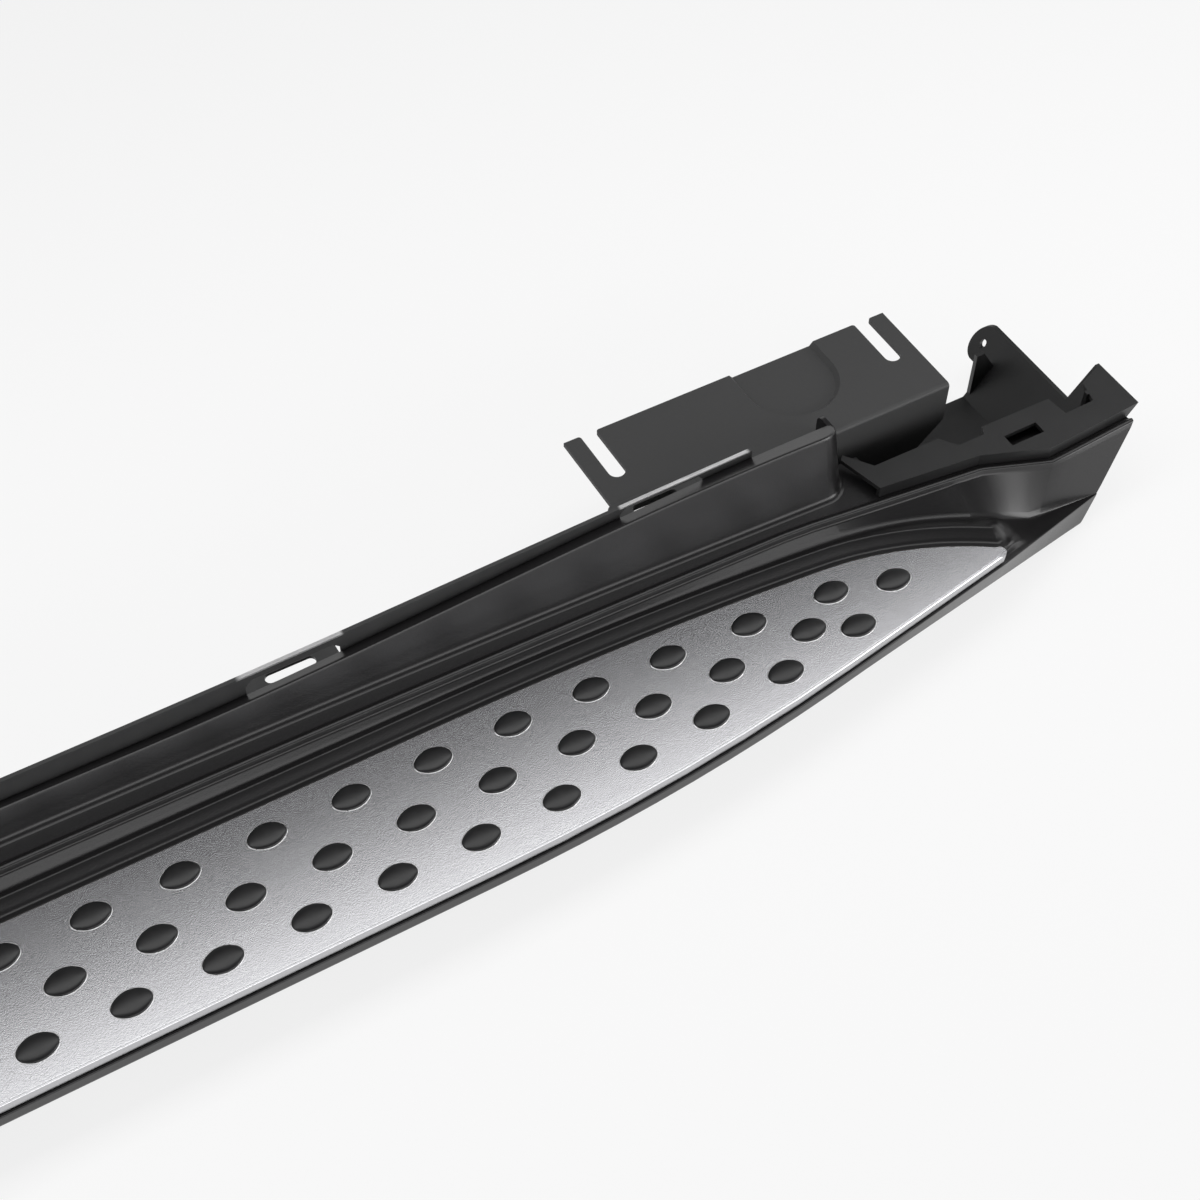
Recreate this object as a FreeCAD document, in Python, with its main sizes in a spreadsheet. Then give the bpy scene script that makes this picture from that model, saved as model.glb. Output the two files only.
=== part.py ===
import FreeCAD, Part
import math
import os

from FreeCAD import Vector

# Vehicle side step: a long moulded cover with an aluminium tread plate and oval rubber
# studs, carried by a folded steel tray and two slotted steel brackets.
# The frame: X along the board, Y from the outer edge (negative) to the vehicle (positive),
# Z up, with the origin under the middle of the board on the surface that it lies on.
# Lengths are in millimetres.

os.makedirs("parts", exist_ok=True)
doc = FreeCAD.newDocument("side_step")

# Driving sizes
sheet = doc.addObject("Spreadsheet::Sheet", "Sizes")
DRIVING = [
    # overall
    ("board_half", 876.0),         # from the middle to the end of the raised bead
    ("depth", 231.0),              # from the outer lip to the bracket's back edge
    ("tread_height", 48.0),        # top of the tread plate above the ground
    ("wall", 3.0),                 # wall of the mouldings
    ("seat_gap", 0.3),             # room between pieces that only rest on each other
    ("plate_gap", 0.6),            # room round the tread plate in its recess
    # outer lip of the cover
    ("lip_top_drop", 7.5),         # from the tread down to the top of the lip
    ("lip_height", 9.5),           # height of the lip's outer face
    ("belly_slope", 1.03),         # fall of the belly for each unit inwards
    ("front_bend_setback", 501.0), # where the straight outer edge ends, from the board's end
    ("front_bend_length", 240.0),  # it then bends inwards on one arc over this length
    ("front_bend_radius", 1410.0),
    ("lip_fall_setback", 242.0),   # where the lip's lower edge starts to fall to the ground
    ("lip_end_run", 0.23),         # how fast that lower edge then comes inwards
    # tread plate
    ("plate_width", 97.5),
    ("plate_sheet", 2.0),
    ("plate_front_drop", 6.5),     # depth of the plate's turned-down front edge
    ("plate_inset", 1.5),          # the plate's front face behind the lip's outer face
    ("tip_setback", 131.0),        # the plate's tip, measured back from the board's end
    ("back_bend_length", 240.0),   # the plate's back edge bends on a slow arc
    ("back_bend_radius", 2600.0),
    ("back_turn_length", 105.0),   # and then on a tight one to the tip
    ("back_turn_radius", 215.0),
    # rubber studs
    ("stud_pitch", 50.0),
    ("stud_long", 22.4),
    ("stud_short", 15.6),
    ("stud_rise", 2.2),
    ("stud_hole_gap", 0.25),
    # groove and rib behind the plate
    ("rib_offset", 12.3),          # from the plate's back edge to the rib's crest
    ("rib_height", 4.0),           # crest above the tread
    ("groove_depth", 2.0),
    # deck, bead and the gutter at the board's end
    ("deck_rise", 6.0),            # deck above the tread
    ("bead_rise", 1.5),            # bead above the deck
    ("bead_inset", 126.0),         # bead line behind the outer lip, at the middle
    ("bead_bow", 9.4),             # how far the bead line bows outwards up to the sweep
    ("sweep_start_setback", 236.0), # where that bow ends, from the board's end
    ("sweep_setback", 109.0),      # where the bead line turns outwards, from the end
    ("sweep_inset", 102.0),        # and its place there, behind the outer lip
    ("fold_setback", 66.5),        # where it ends its sweep, from the end
    ("fold_inset", 85.5),
    ("end_bead_inset", 89.5),      # bead line behind the outer lip, at the end
    ("gutter_setback", 87.0),      # where the gutter behind the rib reaches its foot
    ("gutter_drop", 23.5),         # how far it has fallen there, below the tread
    ("gutter_end_drop", 30.75),    # how far it has fallen at the end
    ("gutter_end_inset", 74.5),    # gutter behind the outer lip at the end
    ("end_rake", 0.83),            # run of the raked end for each unit of height
    ("deck_inset", 151.0),         # back of the deck along the upstand, behind the outer lip
    ("end_deck_inset", 116.5),     # back of the deck beyond the upstand
    # upstand
    ("upstand_inset", 143.0),      # foot of the upstand behind the outer lip, at the middle
    ("upstand_bow", 15.2),         # how far the foot bows outwards at its end
    ("upstand_setback", 191.0),    # end of the upstand, from the board's end
    ("upstand_corner", 15.0),
    ("upstand_low", 21.0),         # height above the deck at the middle
    ("upstand_high", 44.0),        # height above the deck at the ends
    ("upstand_rise_length", 455.0), # length over which it rises to its ends
    ("upstand_lean", 0.27),
    ("ledge_fall", 0.52),          # fall of its top for each unit towards the back
    ("lug_reach", 10.5),           # how far the end wall reaches over the bracket
    # tray with its back web
    ("tray_sheet", 2.0),
    ("web_sheet", 2.5),
    ("tray_lift", 3.0),            # underside of the tray above the ground
    ("tray_inset", 21.0),          # end of the tray inside the upstand's end
    ("tray_front_gap", 2.0),       # between the tray's front edge and the cover
    ("web_low", 39.0),             # top of the web above the tread, at the middle
    ("web_high", 49.0),            # and at the ends
    ("web_step_inset", 57.0),      # where the web's top steps down, from the upstand's end
    ("web_step_drop", 17.0),
    ("window_width", 58.0),
    ("window_height", 17.0),
    ("window_chamfer", 4.5),
    ("window_inset", 98.0),        # centre of the outer window, from the tray's end
    ("window_pitch", 238.0),       # from the outer window to the inner one
    ("window_cover", 1.8),         # strip of web left above the outer window
    ("inner_window_cover", 5.4),   # and above the inner one
    ("tab_reach", 17.0),           # length of the tab folded back out of each window
    ("tab_slot_length", 31.0),
    ("tab_slot_width", 7.0),
    # beam below the tread
    ("beam_inset_end", 144.0),     # end of the beam, from the tray's end
    ("beam_width", 40.0),
    ("beam_wall", 2.0),
    ("beam_inset", 46.0),          # front of the beam behind the outer lip
    ("plug_depth", 12.0),          # how far the plastic plugs reach into the beam
    ("plug_flange", 2.0),
    # end caps
    ("cap_clearance", 27.0),       # from the upstand's end to the cap's floor
    ("cap_bead_gap", 5.5),         # flange's outer edge behind the bead line
    ("cap_inset", 21.5),           # flange's outer edge in front of the cap's wall, at the end
    ("cap_plate", 3.0),
    ("cap_rise", 15.0),            # top of the cap's flange above the tread
    ("cap_floor_inset", 196.5),    # back of the cap's floor, behind the outer lip
    ("cap_tab_inset", 221.0),      # back of the end wall's tab
    ("cap_wall_drop", 7.5),        # top of the end wall below the tread
    # brackets
    ("bracket_inset", 4.0),        # middle of the bracket, from the tray's end
    ("bracket_width", 236.0),
    ("bracket_sheet", 3.0),
    ("bracket_top", 28.5),         # top of the bracket above the tread
    ("bolt_drop", 18.5),           # bolts below the top of the bracket
    ("bracket_drop", 56.5),        # height of its front flange
    ("bracket_chamfer", 24.5),
    ("slot_width", 11.0),
    ("slot_depth", 40.5),
    ("slot_spacing", 202.0),
    ("slot_rounding", 2.0),        # rounding of the slots' mouths
    ("swage_width", 63.0),
    ("swage_length", 53.0),
    ("swage_depth", 3.0),
    ("swage_offset", 32.5),        # the swage lies this far outwards of the bracket's middle
    # fasteners
    ("bolt_size", 8.0),
    ("bolt_head", 13.0),
    ("bolt_head_height", 5.3),
    ("bolt_spacing", 80.0),
    ("bolt_offset", 88.0),         # first bolt inwards of the bracket's middle
    ("bolt_reach", 12.0),
    ("washer_width", 17.0),
    ("washer_sheet", 1.6),
    ("nut_height", 6.5),
    ("screw_size", 4.8),
    ("screw_head", 10.0),
    ("screw_head_height", 2.4),
    ("screw_length", 16.0),
    ("boss_width", 11.0),
    ("boss_inset", 118.0),         # row of screw bosses behind the outer lip
    ("boss_pitch", 125.0),
    ("rivet_size", 4.8),
    ("rivet_head", 9.5),
    ("rivet_head_height", 1.4),
    ("rivet_tail", 4.0),
    ("cap_screw_height", 22.0),
    ("cap_screw_start", 42.0),     # first screw of an end cap, from the cap's start
    ("cap_screw_spacing", 70.0),
]
for row, (alias, value) in enumerate(DRIVING, start=1):
    sheet.set("A%d" % row, alias)
    sheet.set("B%d" % row, repr(value))
    sheet.setAlias("B%d" % row, alias)
doc.recompute()


def size(alias):
    return float(sheet.get(alias))


board_half = size("board_half")
upstand_end = board_half - size("upstand_setback")
tray_half = upstand_end - size("tray_inset")
cap_start = upstand_end + size("cap_clearance")
bracket_centre = tray_half - size("bracket_inset")
bend_start = board_half - size("front_bend_setback")
sweep_start = board_half - size("sweep_start_setback")
lip_fall_start = board_half - size("lip_fall_setback")
depth = size("depth")
tread = size("tread_height")
wall = size("wall")
seat_gap = size("seat_gap")
lip_y = -depth / 2
deck_back_y = lip_y + size("deck_inset")
end_back_y = lip_y + size("end_deck_inset")
cap_back_y = lip_y + size("cap_floor_inset")
plate_top = tread
plate_under = tread - size("plate_sheet")
deck_z = tread + size("deck_rise")
bead_z = deck_z + size("bead_rise")
tip_x = board_half - size("tip_setback")
turn_start = tip_x - size("back_turn_length")
back_bend = turn_start - size("back_bend_length")


# Plan lines of the cover and the plate, as Y over X, for the right half
def smooth(t):
    t = min(1.0, max(0.0, t))
    return t * t * (3 - 2 * t)


def between(x, x0, y0, x1, y1):
    return y0 + (y1 - y0) * (x - x0) / (x1 - x0)


def arc_drop(run, radius):
    return radius - math.sqrt(radius * radius - run * run)


def lip_line(x):
    """Outer face of the lip: straight, then one arc, then straight on."""
    run = max(0.0, x - bend_start)
    bend = size("front_bend_length")
    radius = size("front_bend_radius")
    inwards = arc_drop(min(run, bend), radius)
    slope = bend / math.sqrt(radius * radius - bend * bend)
    return lip_y + inwards + slope * max(0.0, run - bend)


def plate_front(x):
    return lip_line(x) + size("plate_inset")


def plate_back(x):
    """Back edge of the plate: straight, a slow arc, then a tight one to the tip."""
    radius = size("back_bend_radius")
    tight = size("back_turn_radius")
    straight = lip_y + size("plate_inset") + size("plate_width")
    run = max(0.0, min(x, turn_start) - back_bend)
    drop = arc_drop(run, radius)
    if x > turn_start:
        slope = size("back_bend_length") / radius
        angle = math.asin(min(0.95, (x - turn_start) / tight + slope))
        drop += tight * (math.cos(math.asin(slope)) - math.cos(angle))
    return straight - drop


def back_stretch(x):
    """How much longer a square offset is when it is measured along Y."""
    step = 0.5
    slope = (plate_back(x + step) - plate_back(x - step)) / (2 * step)
    return math.hypot(1, slope)


def bead_line(x):
    """Outer edge of the deck: a slow bow, a sweep outwards, then straight to the end."""
    corner = board_half - size("sweep_setback")
    fold = board_half - size("fold_setback")
    middle = lip_y + size("bead_inset")
    corner_y = lip_y + size("sweep_inset")
    fold_y = lip_y + size("fold_inset")
    if x <= sweep_start:
        return middle - size("bead_bow") * (x / sweep_start) ** 2
    if x <= corner:
        return between(x, sweep_start, middle - size("bead_bow"), corner, corner_y)
    if x <= fold:
        return between(x, corner, corner_y, fold, fold_y)
    return between(x, fold, fold_y, board_half, lip_y + size("end_bead_inset"))


def gutter_line(x):
    """Foot of the gutter between the rib and the band, as (y, z)."""
    foot = board_half - size("gutter_setback")
    end = board_half - (bead_z - tread + size("gutter_end_drop")) * size("end_rake")
    foot_y = lip_y + size("gutter_end_inset")
    if x <= tip_x:
        widening = smooth((x - sweep_start) / (tip_x - sweep_start))
        y = plate_back(x) + (size("rib_offset") + 4.5 + 9.0 * widening) * back_stretch(x)
        return y, tread + 1.5 - 6.5 * widening
    if x <= foot:
        start_y = plate_back(tip_x) + (size("rib_offset") + 13.5) * back_stretch(tip_x)
        y = between(x, tip_x, start_y, foot, foot_y)
        return y, between(x, tip_x, tread - 5.0, foot, tread - size("gutter_drop"))
    y = foot_y + 0.014 * (min(x, end) - foot)
    return y, between(min(x, end), foot, tread - size("gutter_drop"), end, tread - size("gutter_end_drop"))


def lip_crest(x):
    """Upper edge of the lip, which meets the gutter's foot at the board's end, as (y, z)."""
    z = tread - size("lip_top_drop")
    if x <= tip_x:
        return lip_line(x), z
    end = board_half - (bead_z - tread + size("gutter_end_drop")) * size("end_rake")
    end_y, end_z = gutter_line(end)
    x = min(x, end)
    return between(x, tip_x, lip_line(tip_x), end, end_y - 0.4), between(x, tip_x, z, end, end_z)


def lip_foot(x):
    """Lower edge of the lip, as (y, z); it falls to the ground at the board's end."""
    z = tread - size("lip_top_drop") - size("lip_height")
    end = board_half - bead_z * size("end_rake")
    if x <= lip_fall_start:
        return lip_line(x) + 0.5, z
    y = lip_line(lip_fall_start) + 0.5 + size("lip_end_run") * (x - lip_fall_start)
    return y, max(1.0, between(x, lip_fall_start, z, end, 1.0))


def deck_back(x):
    """Back of the deck: level with the upstand, then cut back behind the end cap."""
    start = upstand_end + 20.0
    step = min(1.0, max(0.0, (x - start) / (cap_start - 1.0 - start)))
    return deck_back_y + (end_back_y - deck_back_y) * step


def rising(x):
    """From 0 in the middle of the board to 1 at the upstand's ends."""
    return smooth(1 + (x - upstand_end) / size("upstand_rise_length"))


def upstand_height(x):
    return size("upstand_low") + (size("upstand_high") - size("upstand_low")) * rising(x)


def upstand_front(x):
    """Foot of the upstand's front wall on the deck."""
    return lip_y + size("upstand_inset") - size("upstand_bow") * (x / upstand_end) ** 2


def web_top(x):
    return tread + size("web_low") + (size("web_high") - size("web_low")) * rising(x)


boss_y = lip_y + size("boss_inset")
boss_count = int(tray_half / size("boss_pitch"))
rivet_rows = int((tray_half - size("beam_inset_end")) / size("boss_pitch"))
cap_front = end_back_y + seat_gap


def boss_places():
    """Screws of the right half that hold the cover on the tray."""
    return [size("boss_pitch") * (index + 1) for index in range(boss_count)]


def cap_screw_places():
    """Screws that hold the end caps on the cover, at both ends."""
    near = cap_start + size("cap_screw_start")
    places = []
    for x in (near, near + size("cap_screw_spacing")):
        places += [x, -x]
    return places


def screw_bore(seat, direction):
    return Part.makeCylinder(size("screw_size") / 2 + 0.05, size("screw_length") + 1.0, seat, direction)


# Cover: sections across the board, joined one after the other
def cover_section(x):
    crest_y, crest_z = lip_crest(x)
    foot_y, foot_z = lip_foot(x)
    gutter_y, gutter_z = gutter_line(x)
    belly_y = foot_y + foot_z / size("belly_slope")
    bead_y = bead_line(x)
    back_y = deck_back(x)
    edge = plate_back(min(x, tip_x))
    stretch = back_stretch(min(x, tip_x))
    offset = size("rib_offset")
    recess = [
        (crest_y + size("plate_inset") + size("plate_sheet") + size("plate_gap"), crest_z),
        (crest_y + size("plate_inset") + size("plate_sheet") + size("plate_gap"), plate_under),
        (edge + size("plate_gap"), plate_under),
        (edge + size("plate_gap"), plate_under + 1.6),
        (edge + 0.4 * offset * stretch, tread - size("groove_depth")),
        (edge + 0.8 * offset * stretch, tread + 0.6 * size("rib_height")),
        (edge + offset * stretch, tread + size("rib_height")),
        (edge + 1.2 * offset * stretch, tread + 0.7 * size("rib_height")),
    ]
    blend = smooth((x - tip_x) / 24.0)
    if blend > 0:
        # Beyond the plate's tip the recess and the rib fade into one slope
        count = len(recess) + 1
        faded = []
        for index, (y, z) in enumerate(recess, start=1):
            slope_y = crest_y + (gutter_y - crest_y) * index / count
            slope_z = crest_z + (gutter_z - crest_z) * index / count
            faded.append((y + (slope_y - y) * blend, z + (slope_z - z) * blend))
        recess = faded
    step_z = max(gutter_z, min(deck_z - 3.5, gutter_z + 6.0)) if x <= tip_x else None
    band_y = bead_y - 1.5
    band_z = deck_z - 2.0 if step_z is None else deck_z - 2.5
    points = [(foot_y, foot_z), (crest_y, crest_z)] + recess
    points += [
        (gutter_y, gutter_z),
        (band_y, band_z),
        (bead_y, bead_z - 0.4),
        (bead_y + 2.0, bead_z),
        (bead_y + 4.0, deck_z),
        (back_y, deck_z),
        (back_y, 0.0),
        (back_y - wall, 0.0),
        (belly_y + wall, 0.0),
        (belly_y, 0.0),
    ]
    return [Vector(x, y, z) for y, z in points]


def cover_hollow_section(x):
    crest_y, crest_z = lip_crest(x)
    foot_y, foot_z = lip_foot(x)
    gutter_y, gutter_z = gutter_line(x)
    belly_y = foot_y + foot_z / size("belly_slope") + 1.5 * wall
    bead_y = bead_line(x)
    back_y = deck_back(x) - wall
    below = -5.0
    ceiling = min(plate_under, gutter_z) - wall if x <= tip_x else gutter_z - wall
    front_z = min(plate_under, crest_z + 5.5) - wall if x <= tip_x else crest_z - wall
    points = [
        (belly_y - below / size("belly_slope") * 0.0, below),
        (belly_y, 0.5),
        (foot_y + 2.2 * wall, min(foot_z + 0.5 * wall, front_z - 1.0)),
        (max(crest_y + 2.0 * wall, foot_y + 2.2 * wall - 1.0), front_z),
        (gutter_y + 1.2 * wall, ceiling),
        (bead_y + 1.2 * wall, deck_z - wall),
        (back_y, deck_z - wall),
        (back_y, below),
    ]
    return [Vector(x, y, z) for y, z in points]


def loft_of(section, stations):
    wires = []
    for x in stations:
        points = section(x)
        wires.append(Part.makePolygon(points + [points[0]]))
    return Part.makeLoft(wires, True, True)


def prism(points, direction):
    face = Part.Face(Part.makePolygon(points + [points[0]]))
    return face.extrude(direction)


def box(x0, x1, y0, y1, z0, z1):
    return Part.makeBox(x1 - x0, y1 - y0, z1 - z0, Vector(x0, y0, z0))


def beyond_end(inset):
    """Everything past the raked end, moved inwards by an inset along X."""
    rake = size("end_rake")
    high = 4 * bead_z
    low = -bead_z
    top_x = board_half - inset + (high - bead_z) * rake
    low_x = board_half - inset + (low - bead_z) * rake
    points = [
        Vector(low_x, -depth, low),
        Vector(low_x + board_half, -depth, low),
        Vector(top_x + board_half, -depth, high),
        Vector(top_x, -depth, high),
    ]
    return prism(points, Vector(0, 2 * depth, 0))


def mirrored(shape):
    """The same form at the other end of the board."""
    return shape.mirror(Vector(0, 0, 0), Vector(1, 0, 0))


def both_halves(half):
    return half.fuse(mirrored(half)).removeSplitter()


gutter_foot_x = board_half - size("gutter_setback")
fold_x = board_half - size("fold_setback")
end_station = board_half + 30.0
stations = [0.0, bend_start]
stations += [bend_start + (turn_start - bend_start) * step / 5 for step in range(1, 6)]
stations += [upstand_end - 14.0, upstand_end + 4.0, upstand_end + 20.0]
stations += [cap_start - 1.0, tip_x - 18.0, tip_x + 1.0]
stations += [tip_x + 12.0, tip_x + 24.0, gutter_foot_x, fold_x]
stations += [board_half - 32.0, end_station]


def upstand_outline(z, inset, back_y):
    """Plan outline of the upstand at one height; its corner is an arc."""
    back_off = size("upstand_lean") * (z - deck_z) + inset
    end_x = upstand_end - inset
    corner = max(2.0, size("upstand_corner") - inset)
    half = end_x - corner
    foot_mid = upstand_front(0.0) + back_off
    foot_end = upstand_front(half) + back_off
    middle_y = upstand_front(half / 2) + back_off
    centre = Vector(half, foot_end + corner, z)
    diagonal = corner * math.sqrt(0.5)
    points = [
        Vector(0, foot_mid, z),
        Vector(half / 2, middle_y, z),
        Vector(half, foot_end, z),
        Vector(centre.x + diagonal, centre.y - diagonal, z),
        Vector(end_x, foot_end + corner, z),
        Vector(end_x, back_y, z),
        Vector(0, back_y, z),
    ]
    edges = [
        Part.Arc(points[0], points[1], points[2]).toShape(),
        Part.Arc(points[2], points[3], points[4]).toShape(),
        Part.makeLine(points[4], points[5]),
        Part.makeLine(points[5], points[6]),
        Part.makeLine(points[6], points[0]),
    ]
    return Part.Wire(edges)


def under_profile(height_at, extra, fall):
    """Everything below a top line that rises to the ends and falls towards the back."""
    x_start = upstand_end - size("upstand_rise_length")
    x_end = upstand_end + size("cap_clearance")
    knots = 9
    lift = extra + fall * depth
    curve_points = []
    for index in range(knots):
        x = x_start + (x_end - x_start) * index / (knots - 1)
        curve_points.append(Vector(x, -depth, height_at(x) + lift))
    curve = Part.BSplineCurve()
    curve.interpolate(Points=curve_points)
    first = curve_points[0]
    last = curve_points[-1]
    start = Vector(0, -depth, first.z)
    low_z = -2 * depth
    edges = [
        Part.makeLine(start, first),
        curve.toShape(),
        Part.makeLine(last, Vector(last.x, -depth, low_z)),
        Part.makeLine(Vector(last.x, -depth, low_z), Vector(0, -depth, low_z)),
        Part.makeLine(Vector(0, -depth, low_z), start),
    ]
    return Part.Face(Part.Wire(edges)).extrude(Vector(0, 2 * depth, -2 * depth * fall))


def ledge_height(x):
    """Height of the sloping ledge, carried on to where Y is zero."""
    height = upstand_height(x)
    ridge_y = upstand_front(x) + size("upstand_lean") * height
    return deck_z + height + size("ledge_fall") * ridge_y


web_front = deck_back_y + wall + 0.5
ledge_back = web_front - seat_gap


def make_upstand():
    low = deck_z - 1.0
    high = deck_z + size("upstand_high") + 10.0
    back = ledge_back + 30.0
    outer = Part.makeLoft([upstand_outline(low, 0, back), upstand_outline(high, 0, back)], True, True)
    outer = outer.common(under_profile(ledge_height, 0.0, size("ledge_fall")))
    outer = outer.common(box(-wall, board_half, -depth, ledge_back, 0.0, 2 * high))
    inner_low = deck_z - wall - 1.0
    inner = Part.makeLoft([upstand_outline(inner_low, wall, back), upstand_outline(high, wall, back)], True, True)
    inner = inner.common(under_profile(ledge_height, -wall, size("ledge_fall")))
    return outer, inner


def make_lug():
    """The upstand's end wall reaches back over the bracket with a rounded lug."""
    radius = size("lug_reach") / 2
    low = tread + size("bracket_top") + 2 * seat_gap
    top = ledge_height(upstand_end) - size("ledge_fall") * ledge_back
    back = ledge_back + size("lug_reach")
    lug = box(upstand_end - wall, upstand_end, ledge_back - wall, back, low, top)
    rim = [e for e in lug.Edges if e.BoundBox.YMin > back - 0.01 and e.BoundBox.XLength > wall - 0.01
           and e.BoundBox.ZMin > low + 1.0]
    return lug.makeFillet(radius, rim)


def make_cover():
    outer = loft_of(cover_section, stations)
    hollow = loft_of(cover_hollow_section, stations[:-1] + [end_station + 1.0])
    hollow = hollow.cut(beyond_end(wall))
    shell = outer.cut(hollow)
    upstand, upstand_hollow = make_upstand()
    shell = shell.fuse(upstand).cut(upstand_hollow).fuse(make_lug())
    # Cross ribs inside the shell stand clear of the tray and the beam
    rib_low = size("tray_lift") + size("tray_sheet") + seat_gap
    beam_front = lip_y + size("beam_inset") - seat_gap
    beam_back = beam_front + size("beam_width") + 2 * seat_gap
    ribs = None
    for index in range(boss_count):
        x = size("boss_pitch") * (index + 0.5)
        slab = box(x - 1.25, x + 1.25, -depth, depth, rib_low, 2 * tread)
        slab = slab.cut(box(x - wall, x + wall, beam_front, beam_back, 0.0, plate_under - wall))
        rib = slab.common(hollow)
        ribs = rib if ribs is None else ribs.fuse(rib)
    shell = shell.fuse(ribs)
    # Screw bosses stand on the tray's floor
    for x in boss_places():
        boss = Part.makeCylinder(size("boss_width") / 2, deck_z - rib_low, Vector(x, boss_y, rib_low))
        shell = shell.fuse(boss.common(hollow))
    # The back wall ends above the tray's floor
    slot = box(-wall, tray_half + seat_gap, deck_back(0.0) - 2 * wall, depth, -wall, rib_low)
    shell = shell.cut(slot)
    shell = shell.cut(beyond_end(0.0))
    pilots = []
    for x in boss_places():
        pilots.append(screw_bore(Vector(x, boss_y, size("tray_lift")), Vector(0, 0, 1)))
    for x in cap_screw_places():
        if x > 0:
            pilots.append(screw_bore(Vector(x, cap_front + size("cap_plate"), size("cap_screw_height")), Vector(0, -1, 0)))
    shell = shell.cut(Part.makeCompound(pilots))
    return both_halves(shell)


# Tread plate: one sheet with a turned-down front edge and oval holes
def plate_outline(inset, z):
    """Right half of the plate's outline at one height, closed along the middle."""
    tip = tip_x - inset
    bend_end = bend_start + size("front_bend_length")

    def back(x):
        return Vector(x, plate_back(x) - inset, z)

    def front(x):
        return Vector(x, plate_front(x) + inset, z)

    nose_back = back(tip - 4.0)
    nose_front = front(tip - 4.0)
    nose = Vector(tip, (nose_back.y + nose_front.y) / 2, z)
    edges = [
        Part.makeLine(back(0.0), back(back_bend)),
        Part.Arc(back(back_bend), back((back_bend + turn_start) / 2), back(turn_start)).toShape(),
        Part.Arc(back(turn_start), back((turn_start + tip - 4.0) / 2), nose_back).toShape(),
        Part.Arc(nose_back, nose, nose_front).toShape(),
        Part.makeLine(nose_front, front(bend_end)),
        Part.Arc(front(bend_end), front((bend_start + bend_end) / 2), front(bend_start)).toShape(),
        Part.makeLine(front(bend_start), front(0.0)),
        Part.makeLine(front(0.0), back(0.0)),
    ]
    return Part.Wire(edges)


def stud_places():
    """Centres of the studs in the right half, in three rows that follow the plate's edges."""
    pitch = size("stud_pitch")
    front_edge = plate_front(0.0)
    width = size("plate_width")
    places = []
    # The rows end short of the plate's tip, and their last studs stand wider apart
    count = int((tip_x - 95.0) / pitch + 0.01)
    for index in range(count):
        x = pitch * (index + 0.5)
        follow = plate_back(x) - plate_back(0.0)
        x += max(0.0, index + 3 - count) ** 1.3 * 0.1 * pitch * 0.75
        places.append((x, front_edge + 0.807 * width + 0.9 * follow))
    for index in range(count):
        x = pitch * index
        x += max(0.0, index + 2 - count) ** 1.2 * 0.14 * pitch
        rise = plate_front(x) - front_edge
        places.append((x, front_edge + 0.505 * width + 0.18 * rise))
    for index in range(count):
        x = pitch * (index + 0.5)
        x += max(0.0, index + 3 - count) ** 1.3 * 0.1 * pitch * 0.75
        rise = plate_front(x) - front_edge
        places.append((x, front_edge + 0.215 * width + 0.85 * rise))
    tip_stud = tip_x - 73.0
    places.append((tip_stud, (plate_back(tip_stud) + plate_front(tip_stud)) / 2 + 4.0))
    return places


def oval(x, y, z, grow):
    """Oval of four tangent arcs: two tight ones at its ends and two wide ones along it."""
    long_half = size("stud_long") / 2
    short_half = size("stud_short") / 2
    tight = 0.7 * short_half
    reach = long_half - tight
    spare = short_half - tight
    drop = (reach * reach - spare * spare) / (2 * spare)
    wide = short_half + drop + grow
    angle = math.atan2(drop, reach)
    join = Vector(reach + (tight + grow) * math.cos(angle), (tight + grow) * math.sin(angle))
    arcs = []
    for start, middle, end in (
        (Vector(join.x, -join.y), Vector(long_half + grow, 0), join),
        (join, Vector(0, wide - drop), Vector(-join.x, join.y)),
        (Vector(-join.x, join.y), Vector(-long_half - grow, 0), Vector(-join.x, -join.y)),
        (Vector(-join.x, -join.y), Vector(0, drop - wide), Vector(join.x, -join.y)),
    ):
        place = Vector(x, y, z)
        arcs.append(Part.Arc(place + start, place + middle, place + end).toShape())
    return Part.Wire(arcs)


all_studs = []
for stud_x, stud_y in stud_places():
    all_studs.append((stud_x, stud_y))
    if stud_x > 1.0:
        all_studs.append((-stud_x, stud_y))


def make_plate():
    sheet_t = size("plate_sheet")
    drop = size("plate_front_drop")
    solid = Part.Face(plate_outline(0.0, tread - drop)).extrude(Vector(0, 0, drop))
    bend = [e for e in solid.Edges if e.BoundBox.ZMin > tread - 0.01
            and e.CenterOfMass.x < tip_x - 5.0 and e.CenterOfMass.y < plate_front(e.CenterOfMass.x) + 3.0]
    solid = solid.makeFillet(0.9 * sheet_t, bend)
    # The sheet is open below and along its back edge: only the front is turned down
    low = tread - drop - 1.0
    bend_end = bend_start + size("front_bend_length")
    beyond = tip_x + 5.0

    def inner(x):
        return Vector(x, plate_front(x) + sheet_t, low)

    edges = [
        Part.makeLine(inner(0.0), inner(bend_start)),
        Part.Arc(inner(bend_start), inner((bend_start + bend_end) / 2), inner(bend_end)).toShape(),
        Part.makeLine(inner(bend_end), inner(beyond)),
        Part.makeLine(inner(beyond), Vector(beyond, 100.0, low)),
        Part.makeLine(Vector(beyond, 100.0, low), Vector(0.0, 100.0, low)),
        Part.makeLine(Vector(0.0, 100.0, low), inner(0.0)),
    ]
    hollow = Part.Face(Part.Wire(edges)).extrude(Vector(0, 0, drop + 1.0 - sheet_t))
    half = solid.cut(hollow)
    plate = both_halves(half)
    holes = []
    for x, y in all_studs:
        wire = oval(x, y, tread - 5.0, size("stud_hole_gap"))
        holes.append(Part.Face(wire).extrude(Vector(0, 0, 10.0)))
    return plate.cut(Part.makeCompound(holes))


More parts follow.
